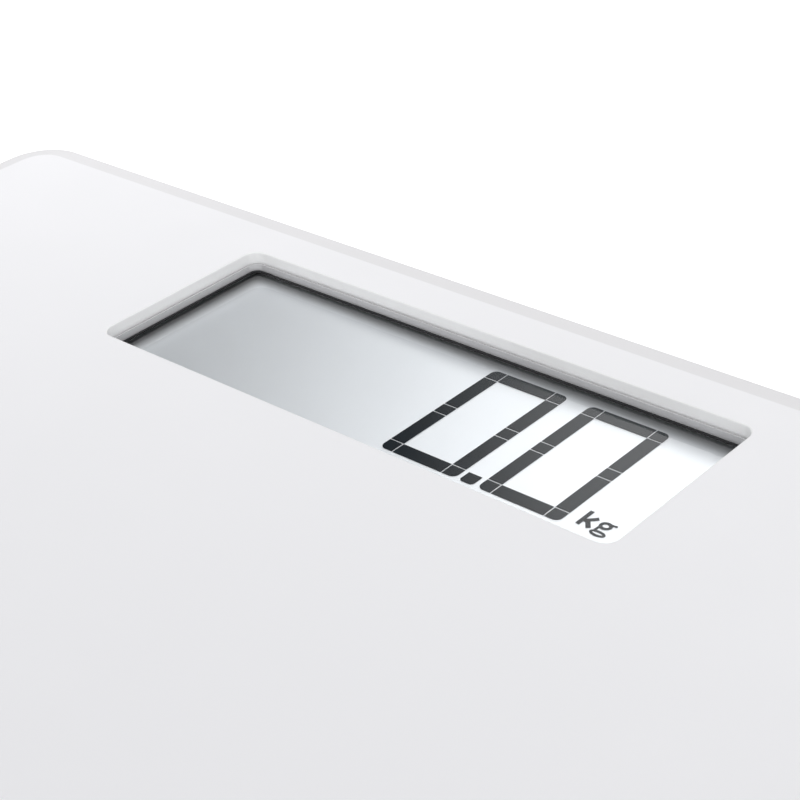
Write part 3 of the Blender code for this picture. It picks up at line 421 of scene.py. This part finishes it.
def makePlatform(values):
    low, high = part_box("glass_platform")
    trimLow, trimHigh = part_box("display_trim")
    windowLow = [a - touchGap for a in trimLow]
    windowHigh = [a + touchGap for a in trimHigh]
    top, bottom = high.z, low.z
    arris, drop, bevel = values["arris"], values["bevelDrop"], values["bevelWidth"]
    corner = values["corner"]
    shoulder, shoulderIn = top - drop, arris * values["shoulderBreak"]
    broken = arris * cornerBreak
    outer = [
        (arris, bottom, corner - arris),
        (broken, bottom + broken, corner - broken),
        (0.0, bottom + arris, corner),
        (0.0, shoulder - arris, corner),
        (shoulderIn, shoulder - broken, corner - shoulderIn),
        (arris, shoulder, corner - arris),
        (bevel - arris, top - arris * values["crownBreak"], corner - bevel + arris),
        (bevel + arris, top, corner - bevel - arris),
    ]
    soft, window = values["windowArris"], values["windowCorner"]
    inner = [
        (-soft, top, window + soft),
        (-soft * cornerBreak, top - soft * cornerBreak, window + soft * cornerBreak),
        (0.0, top - soft, window),
        (0.0, bottom + soft, window),
        (-soft, bottom, window + soft),
    ]
    levels = insetLevels(low, high, outer) + insetLevels(windowLow, windowHigh, inner)
    bm = bmesh.new()
    stackOutlines(bm, levels, values["segments"], closed=True)
    finishPiece(
        "platformGlass", bm, makePlatformMaterial(values),
        replaced=("glass_platform",), sharp=60,
    )


makePlatform(platform)
print("platform made")


surround = {
    "trimWall": 0.0005,
    "gasketWall": 0.0005,
    "gasketHeight": 0.00032,
    "corner": 0.0027,
    "edge": 0.00008,
    "segments": 12,
    "trimLight": (0.60, 0.60, 0.615),
    "trimDark": (0.55, 0.55, 0.565),
    "gasketLight": (0.012, 0.013, 0.015),
    "gasketDark": (0.02, 0.02, 0.022),
}


def makeWallRing(name, node, wall, corner, height, values, material):
    low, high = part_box(node)
    edge, top = values["edge"], low.z + height
    steps = [
        (0.0, low.z, corner),
        (0.0, top - edge, corner),
        (edge, top, corner - edge),
        (wall - edge, top, corner - wall + edge),
        (wall, top - edge, corner - wall),
        (wall, low.z, corner - wall),
    ]
    bm = bmesh.new()
    stackOutlines(bm, insetLevels(low, high, steps), values["segments"], closed=True)
    finishPiece(name, bm, material, replaced=(node,), sharp=60)


def makeSurround(values):
    trim = mouldedMaterial("trimPlastic", values["trimLight"], values["trimDark"], (0.35, 0.45))
    foam = mouldedMaterial(
        "gasketFoam", values["gasketLight"], values["gasketDark"], (0.75, 0.95), 3000.0, 0.00004
    )
    low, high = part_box("display_trim")
    corner, wall = values["corner"], values["trimWall"]
    makeWallRing(
        "windowTrim", "display_trim", wall, corner, high.z - low.z, values, trim
    )
    makeWallRing(
        "windowGasket", "display_gasket", values["gasketWall"], corner - wall - touchGap,
        values["gasketHeight"], values, foam,
    )


makeSurround(surround)
print("window surround made")


display = {
    "paneThickness": 0.0005,
    "inkThickness": 0.00002,
    "inkBelowPane": 0.00004,
    "polarizerBelowInk": 0.00003,
    "polarizerThickness": 0.00008,
    "filmBelowInk": 0.00028,
    "filmThickness": 0.00005,
    "digitWidth": 0.01835,
    "digitHeight": 0.03363,
    "stroke": 0.00319,
    "cut": 0.00024,
    "corner": 0.0014,
    "digitsLeft": (0.00688, 0.03042),
    "digitsBottom": -0.01568,
    "pointLeft": 0.02620,
    "pointWidth": 0.00315,
    "pointHeight": 0.00300,
    "pointCorner": 0.0008,
    "unitLeft": 0.05130,
    "unitBase": -0.01420,
    "sheetBevel": 0.15,  # of a sheet's own thickness
    "ink": (0.004, 0.010, 0.016),
    "inkShade": 0.7,
    "inkRoughness": 0.5,
    "inkMottle": 400.0,
    "paneIor": 1.5,
    "paneRoughness": (0.02, 0.05),
    "paneMottle": 200.0,
    "film": (0.935, 0.968, 1.0),
    "filmMetallic": 0.7,
    "filmRoughness": (0.28, 0.286),
    "filmMottle": 30.0,
    "filmLean": (-0.072, -0.072, 0.0),
    "polarizerCover": 0.7,
    "shadeLeft": (0.0060, 0.10),  # how far in the painted shade fades, and how much light its edge keeps
    "shadeRear": (-0.0045, 0.45),
    "shadeTint": 0.22,
}


def makeInkMaterial(values):
    material, shader, coords = newMaterial("segmentInk", values["inkRoughness"], 0.0, values["ink"])
    links = material.node_tree.links
    mottle = useGroup(material, mottleGroup, Scale=values["inkMottle"], Low=0.0, High=1.0)
    links.new(coords.outputs["Object"], mottle.inputs["Position"])
    darker = [a * values["inkShade"] for a in values["ink"]]
    colourBlend(material, values["ink"], darker, mottle.outputs["Value"], shader.inputs["Base Color"])
    shader.inputs["Specular IOR Level"].default_value = 0.0
    return material


def makePaneMaterial(values):
    # a clear sheet: only its gloss is seen, and that on its outer faces alone
    clear, misty = values["paneRoughness"]
    material, shader, coords = newMaterial("frontPane", clear, 1.0, (1.0, 1.0, 1.0))
    tree = material.node_tree
    fresnel = tree.nodes.new("ShaderNodeFresnel")
    fresnel.inputs["IOR"].default_value = values["paneIor"]
    geometry = tree.nodes.new("ShaderNodeNewGeometry")
    front = tree.nodes.new("ShaderNodeMath")
    front.operation = "SUBTRACT"
    front.inputs[0].default_value = 1.0
    tree.links.new(geometry.outputs["Backfacing"], front.inputs[1])
    amount = tree.nodes.new("ShaderNodeMath")
    amount.operation = "MULTIPLY"
    tree.links.new(fresnel.outputs[0], amount.inputs[0])
    tree.links.new(front.outputs[0], amount.inputs[1])
    tree.links.new(amount.outputs[0], shader.inputs["Alpha"])
    gloss = useGroup(material, mottleGroup, Scale=values["paneMottle"], Low=clear, High=misty)
    tree.links.new(coords.outputs["Object"], gloss.inputs["Position"])
    tree.links.new(gloss.outputs["Value"], shader.inputs["Roughness"])
    return material


def makeFilmMaterial(name, values, cover):
    low, high = values["filmRoughness"]
    material, shader, coords = newMaterial(name, low, values["filmMetallic"], values["film"])
    shader.inputs["Specular IOR Level"].default_value = 0.0
    shader.inputs["Alpha"].default_value = cover
    links = material.node_tree.links
    gloss = useGroup(material, mottleGroup, Scale=values["filmMottle"], Low=low, High=high)
    links.new(coords.outputs["Object"], gloss.inputs["Position"])
    links.new(gloss.outputs["Value"], shader.inputs["Roughness"])
    # the reflector's fine ridges all lean one way, so the whole sheet mirrors a little aside
    nodes = material.node_tree.nodes
    lean = nodes.new("ShaderNodeVectorMath")
    lean.operation = "DOT_PRODUCT"
    lean.inputs[1].default_value = values["filmLean"]
    links.new(coords.outputs["Object"], lean.inputs[0])
    addBump(material, shader, lean.outputs["Value"], 1.0, 1.0)
    # painted shade: the sheet's colour is darkened along its left and rear edges, where the surround
    # stands over it
    split = nodes.new("ShaderNodeSeparateXYZ")
    links.new(coords.outputs["Object"], split.inputs[0])
    gasketLow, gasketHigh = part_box("display_gasket")
    sides = (("X", gasketLow.x, values["shadeLeft"]), ("Y", gasketHigh.y, values["shadeRear"]))
    shades = []
    for axis, edge, (depth, dark) in sides:
        fade = nodes.new("ShaderNodeMapRange")
        fade.interpolation_type = "SMOOTHSTEP"
        fade.inputs["From Min"].default_value = edge
        fade.inputs["From Max"].default_value = edge + depth
        fade.inputs["To Min"].default_value = dark
        links.new(split.outputs[axis], fade.inputs["Value"])
        shades.append(fade.outputs["Result"])
    shade = nodes.new("ShaderNodeMath")
    shade.operation = "MULTIPLY"
    links.new(shades[0], shade.inputs[0])
    links.new(shades[1], shade.inputs[1])
    # the painted shade's colour at the sheet's edges
    darkEdge = [a * values["shadeTint"] for a in values["film"]]
    colourBlend(material, darkEdge, values["film"], shade.outputs[0], shader.inputs["Base Color"])
    return material


cornerSegments = 8


def inkCell(bm, left, right, bottom, top, origin, level, thickness, roundAt=None, radius=0.0):
    # one flat patch of ink; roundAt numbers its rounded corners from the lower left one
    x, y = origin
    verts = [
        bm.verts.new((x + a, y + b, level))
        for a, b in ((left, bottom), (right, bottom), (right, top), (left, top))
    ]
    before = set(bm.faces)
    bm.faces.new(verts)
    rounded = [] if roundAt is None else [verts[k] for k in roundAt]
    if rounded:
        bmesh.ops.bevel(
            bm, geom=rounded, offset=radius, segments=cornerSegments,
            profile=0.5, affect="VERTICES", material=-1,
        )
    face = [item for item in bm.faces if item not in before][0]
    raised = bmesh.ops.extrude_face_region(bm, geom=[face])
    moved = [item for item in raised["geom"] if isinstance(item, bmesh.types.BMVert)]
    bmesh.ops.translate(bm, verts=moved, vec=(0, 0, thickness))


def makeDigit(name, values, left, level, material):
    low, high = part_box("lcd_cell")
    middle = (low + high) / 2
    origin = (middle.x + left, middle.y + values["digitsBottom"])
    width, height, stroke = values["digitWidth"], values["digitHeight"], values["stroke"]
    halfCut, waist = values["cut"] / 2, height / 2
    inner, outer = stroke - halfCut, stroke + halfCut  # either side of the cut past a corner
    bm = bmesh.new()

    def cell(left, right, bottom, top, roundAt=None):
        inkCell(
            bm, left, right, bottom, top, origin, level, values["inkThickness"], roundAt,
            values["corner"],
        )

    cell(0, inner, 0, inner, (0,))
    cell(width - inner, width, 0, inner, (1,))
    cell(width - inner, width, height - inner, height, (2,))
    cell(0, inner, height - inner, height, (3,))
    for bottom, top in ((0, stroke), (height - stroke, height)):
        cell(outer, width - outer, bottom, top)
    for left, right in ((0, stroke), (width - stroke, width)):
        cell(left, right, outer, waist - stroke / 2 - halfCut)
        cell(left, right, waist - stroke / 2 + halfCut, waist + stroke / 2 - halfCut)
        cell(left, right, waist + stroke / 2 + halfCut, height - outer)
    finishPiece(name, bm, material)


def ringShape(bm, centre, radii, stroke, level, thickness, segments=28):
    loops = []
    for inset in (0.0, stroke):
        made = bmesh.ops.create_circle(bm, cap_ends=False, radius=1.0, segments=segments)
        bmesh.ops.scale(bm, vec=(radii[0] - inset, radii[1] - inset, 1), verts=made["verts"])
        bmesh.ops.translate(bm, vec=(centre[0], centre[1], level), verts=made["verts"])
        loops += {edge for vert in made["verts"] for edge in vert.link_edges}
    bridged = bmesh.ops.bridge_loops(bm, edges=loops)
    raised = bmesh.ops.extrude_face_region(bm, geom=bridged["faces"])
    moved = [item for item in raised["geom"] if isinstance(item, bmesh.types.BMVert)]
    bmesh.ops.translate(bm, verts=moved, vec=(0, 0, thickness))


def barShape(bm, start, end, width, level, thickness):
    along = (end - start).normalized()
    side = Vector((-along.y, along.x)) * width / 2
    verts = [bm.verts.new((*p, level)) for p in (start - side, end - side, end + side, start + side)]
    face = bm.faces.new(verts)
    raised = bmesh.ops.extrude_face_region(bm, geom=[face])
    moved = [item for item in raised["geom"] if isinstance(item, bmesh.types.BMVert)]
    bmesh.ops.translate(bm, verts=moved, vec=(0, 0, thickness))


millimetre = 0.001
# the unit's strokes, in millimetres from its lower left: a ring is (middle, radii, stroke) and
# a bar is (start, end, width)
letters = {
    "unitLetterFirst": {
        "rings": (),
        "bars": (
            ((0.42, 0.0), (0.42, 4.5), 0.86),
            ((0.75, 1.35), (2.75, 3.25), 0.86),
            ((1.25, 1.95), (2.75, 0.05), 0.92),
        ),
    },
    "unitLetterSecond": {
        "rings": (((4.90, 2.20), (1.30, 1.15), 0.68), ((5.00, -0.35), (1.65, 0.85), 0.58)),
        "bars": (((5.65, 2.95), (6.75, 3.10), 0.50), ((4.10, 1.45), (3.95, 0.25), 0.55)),
    },
}


def makeUnit(values, level, material):
    low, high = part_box("lcd_cell")
    middle = (low + high) / 2
    origin = Vector((middle.x + values["unitLeft"], middle.y + values["unitBase"]))
    thickness = values["inkThickness"]
    for name, strokes in letters.items():
        bm = bmesh.new()
        for centre, radii, stroke in strokes["rings"]:
            place = origin + Vector(centre) * millimetre
            size = Vector(radii) * millimetre
            ringShape(bm, place, size, stroke * millimetre, level, thickness)
        for start, end, width in strokes["bars"]:
            ends = [origin + Vector(point) * millimetre for point in (start, end)]
            barShape(bm, *ends, width * millimetre, level, thickness)
        finishPiece(name, bm, material)


def makeSheet(name, top, thickness, material, replaced=()):
    # a flat sheet as wide as the cell, with its edges just broken
    low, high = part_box("lcd_cell")
    size = (high.x - low.x, high.y - low.y, thickness)
    bm = bmesh.new()
    bmesh.ops.create_cube(bm, size=1.0)
    bmesh.ops.scale(bm, vec=size, verts=bm.verts)
    centre = ((low.x + high.x) / 2, (low.y + high.y) / 2, top - thickness / 2)
    bmesh.ops.translate(bm, vec=centre, verts=bm.verts)
    bmesh.ops.bevel(
        bm, geom=bm.edges, offset=thickness * display["sheetBevel"], segments=2,
        profile=0.5, affect="EDGES", material=-1,
    )
    finishPiece(name, bm, material, replaced=replaced, sharp=30)


def makeDisplay(values):
    low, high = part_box("lcd_cell")
    middle = (low + high) / 2
    paneBottom = high.z - values["paneThickness"]
    paneMaterial = makePaneMaterial(values)
    makeSheet("frontPane", high.z, values["paneThickness"], paneMaterial, ("lcd_cell",))
    ink = makeInkMaterial(values)
    level = paneBottom - values["inkBelowPane"] - values["inkThickness"]
    for name, left in zip(("digitTens", "digitUnits"), values["digitsLeft"]):
        makeDigit(name, values, left, level, ink)
    bm = bmesh.new()
    origin = (middle.x + values["pointLeft"], middle.y + values["digitsBottom"])
    inkCell(
        bm, 0, values["pointWidth"], 0, values["pointHeight"], origin, level,
        values["inkThickness"], (0, 1), values["pointCorner"],
    )
    finishPiece("decimalPoint", bm, ink)
    makeUnit(values, level, ink)
    polarizer = makeFilmMaterial("polarizerFilm", values, values["polarizerCover"])
    makeSheet(
        "polarizer", level - values["polarizerBelowInk"], values["polarizerThickness"], polarizer
    )
    film = makeFilmMaterial("reflectorFilm", values, 1.0)
    makeSheet("rearFilm", level - values["filmBelowInk"], values["filmThickness"], film)
    dress(film, "lcd_reflector")


makeDisplay(display)
print("display made")


finishes = {
    "basePlastic": {
        "light": (0.66, 0.665, 0.67), "dark": (0.645, 0.65, 0.655), "roughness": (0.42, 0.55),
    },
    "coverPlastic": {
        "light": (0.72, 0.72, 0.70), "dark": (0.67, 0.67, 0.65), "roughness": (0.38, 0.50),
    },
    "holderPlastic": {
        "light": (0.020, 0.020, 0.022), "dark": (0.030, 0.030, 0.032), "roughness": (0.45, 0.60),
    },
    "chipResin": {
        "light": (0.016, 0.016, 0.017), "dark": (0.024, 0.024, 0.025), "roughness": (0.55, 0.70),
        "grainScale": 5000.0,
    },
    "padRubber": {
        "light": (0.10, 0.10, 0.102), "dark": (0.14, 0.14, 0.142), "roughness": (0.75, 0.90),
        "grainScale": 2200.0, "grainDepth": 0.00004,
    },
    "bondSilicone": {
        "light": (0.70, 0.70, 0.69), "dark": (0.62, 0.62, 0.61), "roughness": (0.30, 0.42),
        "grainScale": 500.0,
    },
    "sleeveRed": {
        "light": (0.52, 0.020, 0.015), "dark": (0.42, 0.014, 0.010), "roughness": (0.35, 0.48),
        "grainScale": 2600.0,
    },
    "sleeveBlack": {
        "light": (0.018, 0.018, 0.019), "dark": (0.028, 0.028, 0.029), "roughness": (0.35, 0.48),
        "grainScale": 2600.0,
    },
    "sleeveGrey": {
        "light": (0.46, 0.46, 0.47), "dark": (0.39, 0.39, 0.40), "roughness": (0.35, 0.48),
        "grainScale": 2600.0,
    },
}
metals = {
    "plateSteel": {
        "light": (0.58, 0.585, 0.60), "dark": (0.48, 0.485, 0.50), "roughness": (0.28, 0.42),
        "stretch": (300.0, 7000.0, 7000.0),
    },
    "springSteel": {
        "light": (0.66, 0.64, 0.60), "dark": (0.56, 0.54, 0.50), "roughness": (0.20, 0.32),
        "stretch": (9000.0, 500.0, 9000.0),
    },
    "cellNickel": {
        "light": (0.70, 0.69, 0.66), "dark": (0.62, 0.61, 0.58), "roughness": (0.16, 0.28),
        "stretch": (6000.0, 900.0, 6000.0),
    },
    "screwZinc": {
        "light": (0.68, 0.68, 0.69), "dark": (0.55, 0.55, 0.56), "roughness": (0.24, 0.38),
        "stretch": (3500.0, 3500.0, 3500.0),
    },
}
brushing = {"mottleScale": 70.0, "bump": 0.4, "depth": 0.00001}
dressed = {
    "base_housing": "basePlastic",
    "display_holder": "holderPlastic",
    "unit_switch": "holderPlastic",
    "controller_chip": "chipResin",
    "glass_bond_seal": "bondSilicone",
    "load_cell_cover": "coverPlastic",
    "load_cell_lead": "sleeveGrey",
    "load_cell": "plateSteel",
    "battery_lead_positive": "sleeveRed",
    "battery_lead_negative": "sleeveBlack",
    "battery_contact": "springSteel",
    "coin_cell": "cellNickel",
    "cover_screw": "screwZinc",
    "holder_screw": "screwZinc",
    "pcb_screw": "screwZinc",
    "main_pcb": "solderMask",
    "zebra_strip": "layeredRubber",
}
board = {
    "roughness": 0.30,
    "bump": 0.5,
    "depth": 0.00003,
    "mask": (0.012, 0.130, 0.045),
    "track": (0.030, 0.230, 0.085),
    "trackScale": 260.0,
    "trackWidth": 0.06,
    "pad": (0.62, 0.61, 0.58),
    "padScale": 420.0,
    "padRadius": 0.16,
}
strip = {
    "pitch": 0.0005,
    "rubber": (0.55, 0.22, 0.22),
    "carbon": (0.02, 0.02, 0.02),
    "roughness": 0.65,
    "grainScale": 3000.0,
    "bump": 0.5,
    "depth": 0.00002,
}


def makeMetalMaterial(name, light, dark, roughness, stretch):
    material, shader, coords = newMaterial(name, roughness[0], 1.0, light)
    links = material.node_tree.links
    brush = useGroup(material, brushGroup, Stretch=stretch, Low=roughness[0], High=roughness[1])
    mottle = useGroup(material, mottleGroup, Scale=brushing["mottleScale"], Low=0.0, High=1.0)
    for node in (brush, mottle):
        links.new(coords.outputs["Object"], node.inputs["Position"])
    colourBlend(material, light, dark, mottle.outputs["Value"], shader.inputs["Base Color"])
    links.new(brush.outputs["Value"], shader.inputs["Roughness"])
    addBump(material, shader, brush.outputs["Height"], brushing["bump"], brushing["depth"])
    return material


def mathWith(material, value, operation, amount):
    node = material.node_tree.nodes.new("ShaderNodeMath")
    node.operation = operation
    node.inputs[1].default_value = amount
    material.node_tree.links.new(value, node.inputs[0])
    return node.outputs[0]


def makeBoardMaterial(values):
    # tracks show under the green lacquer, and round tinned pads stand clear of it
    material, shader, coords = newMaterial("solderMask", values["roughness"], 0.0, values["mask"])
    nodes, links = material.node_tree.nodes, material.node_tree.links
    tracks = nodes.new("ShaderNodeTexBrick")
    tracks.inputs["Scale"].default_value = values["trackScale"]
    tracks.inputs["Mortar Size"].default_value = values["trackWidth"]
    tracks.offset_frequency = 3
    pads = nodes.new("ShaderNodeTexVoronoi")
    pads.inputs["Scale"].default_value = values["padScale"]
    for node in (tracks, pads):
        links.new(coords.outputs["Object"], node.inputs["Vector"])
    isPad = mathWith(material, pads.outputs["Distance"], "LESS_THAN", values["padRadius"])
    blend = colourBlend(
        material, values["mask"], values["track"], tracks.outputs["Fac"], shader.inputs["Base Color"]
    )
    top = nodes.new("ShaderNodeMix")
    top.data_type = "RGBA"
    top.inputs["B"].default_value = (*values["pad"], 1.0)
    links.new(isPad, top.inputs["Factor"])
    links.new(blend.outputs["Result"], top.inputs["A"])
    links.new(top.outputs["Result"], shader.inputs["Base Color"])
    links.new(isPad, shader.inputs["Metallic"])
    addBump(material, shader, tracks.outputs["Fac"], values["bump"], values["depth"])
    return material


def makeStripMaterial(values):
    # conducting and insulating layers take turns along the strip
    material, shader, coords = newMaterial("layeredRubber", values["roughness"], 0.0, values["rubber"])
    nodes, links = material.node_tree.nodes, material.node_tree.links
    split = nodes.new("ShaderNodeSeparateXYZ")
    links.new(coords.outputs["Object"], split.inputs[0])
    turns = mathWith(material, split.outputs["X"], "MULTIPLY", 2 * math.pi / values["pitch"])
    wave = nodes.new("ShaderNodeMath")
    wave.operation = "SINE"
    links.new(turns, wave.inputs[0])
    layer = mathWith(material, wave.outputs[0], "GREATER_THAN", 0.0)
    colourBlend(material, values["rubber"], values["carbon"], layer, shader.inputs["Base Color"])
    grain = useGroup(material, grainGroup, Scale=values["grainScale"])
    links.new(coords.outputs["Object"], grain.inputs["Position"])
    addBump(material, shader, grain.outputs["Height"], values["bump"], values["depth"])
    return material


def makeFinishes():
    made = {name: mouldedMaterial(name, **values) for name, values in finishes.items()}
    made.update({name: makeMetalMaterial(name, **values) for name, values in metals.items()})
    made["solderMask"] = makeBoardMaterial(board)
    made["layeredRubber"] = makeStripMaterial(strip)
    return made


def dressNodes(chosen, made):
    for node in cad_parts:
        fitting = [start for start in chosen if node.startswith(start)]
        if fitting:
            dress(made[chosen[max(fitting, key=len)]], node)


finished = makeFinishes()
dressNodes(dressed, finished)
print("nodes dressed")


corners = ("front_left", "front_right", "rear_left", "rear_right")
foot = {
    "segments": 96,
    "soft": 0.0006,
    "lip": 0.00024,
    "pocketDepth": 0.0009,
    "pocketRadius": 0.0183,
    "post": 0.006,
    "top": 0.004,
    "snap": 0.0072,
    "snapLow": 0.0073,
}
pad = {"segments": 96, "soft": 0.0004, "grooves": (0.005, 0.009, 0.013), "groove": (0.0012, 0.0005)}
button = {
    "segments": 64,
    "soft": 0.0004,
    "radius": 0.004,
    "flangeAt": 0.0023,
    "dish": 0.0004,
    "dishSteps": ((0.0, 1.0), (0.4, 0.8), (0.7, 0.35)),  # shares of the radius and of the dish
}
door = {
    "corner": 0.0008,
    "soft": 0.0003,
    "thickness": 0.0016,
    "tabReach": 0.0030,
    "tabX": 0.009,
    "tabWidth": 0.005,
    "tabThickness": 0.001,
    "gripSize": (0.014, 0.0056),
    "gripFromEnd": 0.0072,
    "gripDepth": 0.0007,
    "gripCorner": 0.0012,
    "gripSoft": 0.00015,
    "ribInset": 0.0009,
    "ribs": 4,
    "ribWidth": 0.0006,
    "segments": 8,
}


def turnedPiece(name, profile, centre, segments, material, body, node):
    # the profile runs from the axis back to the axis, as (radius, height)
    bm = bmesh.new()
    points = [bm.verts.new((centre[0] + radius, centre[1], height)) for radius, height in profile]
    edges = [bm.edges.new(pair) for pair in zip(points, points[1:])]
    bmesh.ops.spin(
        bm, geom=points + edges, cent=(centre[0], centre[1], 0.0), axis=(0, 0, 1),
        angle=2 * math.pi, steps=segments, use_merge=True,
    )
    finishPiece(name, bm, material, body, (node,), sharp=50)


def middleOf(node):
    low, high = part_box(node)
    return (low.x + high.x) / 2, (low.y + high.y) / 2


def makeFoot(corner, values, material):
    node = f"foot_{corner}"
    low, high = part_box(node)
    bottom, radius, soft = low.z, (high.x - low.x) / 2, values["soft"]
    pocket, lip, top, post = (values[key] for key in ("pocketRadius", "lip", "top", "post"))
    profile = [
        (0.0, bottom + values["pocketDepth"]),
        (pocket, bottom + values["pocketDepth"]),
        (pocket, bottom + lip),
        (pocket + lip, bottom),
        (radius - soft, bottom),
        (radius - soft * cornerBreak, bottom + soft * cornerBreak),
        (radius, bottom + soft),
        (radius, top - soft),
        (radius - soft * cornerBreak, top - soft * cornerBreak),
        (radius - soft, top),
        (post, top),
        (post, values["snapLow"]),
        (values["snap"], values["snapLow"]),
        (values["snap"], (values["snapLow"] + high.z) / 2),
        (post, high.z),
        (0.0, high.z),
    ]
    name = "foot" + corner.title().replace("_", "")
    turnedPiece(
        name, profile, middleOf(node), values["segments"], material, node, node
    )


def makePad(corner, values, material):
    node = f"foot_pad_{corner}"
    low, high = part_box(node)
    radius, soft = (high.x - low.x) / 2, values["soft"]
    width, depth = values["groove"]
    profile = [(0.0, low.z)]
    for middle in values["grooves"]:
        profile += [
            (middle - width / 2, low.z),
            (middle - width / 4, low.z + depth),
            (middle + width / 4, low.z + depth),
            (middle + width / 2, low.z),
        ]
    profile += [
        (radius - soft, low.z),
        (radius - soft * cornerBreak, low.z + soft * cornerBreak),
        (radius, low.z + soft),
        (radius, high.z),
        (0.0, high.z),
    ]
    name = "pad" + corner.title().replace("_", "")
    turnedPiece(
        name, profile, middleOf(node), values["segments"], material, f"foot_{corner}",
        node,
    )


def makeButton(values, material):
    low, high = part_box("unit_button")
    radius, soft, flange = values["radius"], values["soft"], (high.x - low.x) / 2
    flangeAt = low.z + values["flangeAt"]
    dish = [(radius * a, low.z + values["dish"] * b) for a, b in values["dishSteps"]]
    profile = dish + [
        (radius - soft, low.z),
        (radius - soft * cornerBreak, low.z + soft * cornerBreak),
        (radius, low.z + soft),
        (radius, flangeAt),
        (flange, flangeAt),
        (flange, high.z),
        (0.0, high.z),
    ]
    turnedPiece(
        "unitButton", profile, middleOf("unit_button"), values["segments"], material,
        "unit_button", "unit_button",
    )


def addBar(bm, low, high, soft=0.0):
    made = bmesh.ops.create_cube(bm, size=1.0)["verts"]
    low, high = Vector(low), Vector(high)
    bmesh.ops.scale(bm, vec=high - low, verts=made)
    bmesh.ops.translate(bm, vec=(low + high) / 2, verts=made)
    if soft:
        edges = {edge for vert in made for edge in vert.link_edges}
        bmesh.ops.bevel(
            bm, geom=list(edges), offset=soft, segments=2, profile=0.5, affect="EDGES", material=-1
        )


def makeDoor(values, material):
    low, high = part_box("battery_door")
    front = low.y + values["tabReach"]
    soft, corner = values["soft"], values["corner"]
    bottom, top = low.z, low.z + values["thickness"]
    plateLow, plateHigh = (low.x, front), (high.x, high.y)
    plate = [
        (0.0, top, corner),
        (0.0, bottom + soft, corner),
        (soft * cornerBreak, bottom + soft * cornerBreak, corner - soft * cornerBreak),
        (soft, bottom, corner - soft),
    ]
    halfX, halfY = [a / 2 for a in values["gripSize"]]
    gripY = high.y - values["gripFromEnd"]
    gripLow, gripHigh = (-halfX, gripY - halfY), (halfX, gripY + halfY)
    roof = bottom + values["gripDepth"]
    turn, gripSoft = values["gripCorner"], values["gripSoft"]
    grip = [
        (0.0, bottom, turn),
        (gripSoft, bottom + gripSoft, turn - gripSoft),
        (soft, roof, turn - soft),
    ]
    bm = bmesh.new()
    levels = insetLevels(plateLow, plateHigh, plate) + insetLevels(gripLow, gripHigh, grip)
    stackOutlines(bm, levels, values["segments"])
    pitch = 2 * halfY / (values["ribs"] + 1)
    ribX, half = halfX - values["ribInset"], values["ribWidth"] / 2
    for index in range(values["ribs"]):
        y = gripLow[1] + (index + 1) * pitch
        addBar(
            bm, (-ribX, y - half, bottom + gripSoft), (ribX, y + half, roof + soft), gripSoft
        )
    leg = values["tabThickness"]
    for side in (-1, 1):
        x, half = side * values["tabX"], values["tabWidth"] / 2
        addBar(bm, (x - half, front, top - soft), (x + half, front + leg, high.z))
        addBar(bm, (x - half, low.y, high.z - leg), (x + half, front, high.z))
    finishPiece(
        "batteryDoor", bm, material, "battery_door", ("battery_door",), sharp=40
    )


for corner in corners:
    makeFoot(corner, foot, finished["basePlastic"])
    makePad(corner, pad, finished["padRubber"])
makeButton(button, finished["basePlastic"])
makeDoor(door, finished["basePlastic"])
print("underside made")


floor = {
    "size": 6.0,
    "colour": (0.5, 0.5, 0.5),
    "roughness": 0.7,
    "light": (1.0, 1.0, 1.0, 1.0),
    "glow": 0.34,
    "seenGlow": 0.75,  # it looks whiter than the light it throws under the object
}


def makeFloor(values):
    material, shader, coords = newMaterial("paleFloor", values["roughness"], 0.0, values["colour"])
    tree = material.node_tree
    shader.inputs["Emission Color"].default_value = values["light"]
    path = tree.nodes.new("ShaderNodeLightPath")
    glow = tree.nodes.new("ShaderNodeMapRange")
    glow.inputs["To Min"].default_value = values["glow"]
    glow.inputs["To Max"].default_value = values["seenGlow"]
    tree.links.new(path.outputs["Is Camera Ray"], glow.inputs["Value"])
    tree.links.new(glow.outputs["Result"], shader.inputs["Emission Strength"])
    geometry = tree.nodes.new("ShaderNodeNewGeometry")
    clear = tree.nodes.new("ShaderNodeBsdfTransparent")
    mix = tree.nodes.new("ShaderNodeMixShader")
    tree.links.new(geometry.outputs["Backfacing"], mix.inputs["Fac"])
    tree.links.new(shader.outputs[0], mix.inputs[1])
    tree.links.new(clear.outputs[0], mix.inputs[2])
    tree.links.new(mix.outputs[0], tree.nodes["Material Output"].inputs["Surface"])
    bm = bmesh.new()
    bmesh.ops.create_grid(bm, x_segments=1, y_segments=1, size=values["size"] / 2)
    mesh = bpy.data.meshes.new("floor")
    bm.to_mesh(mesh)
    bm.free()
    mesh.materials.append(material)
    item = bpy.data.objects.new("floor", mesh)
    scene.collection.objects.link(item)


makeFloor(floor)
print("floor made")
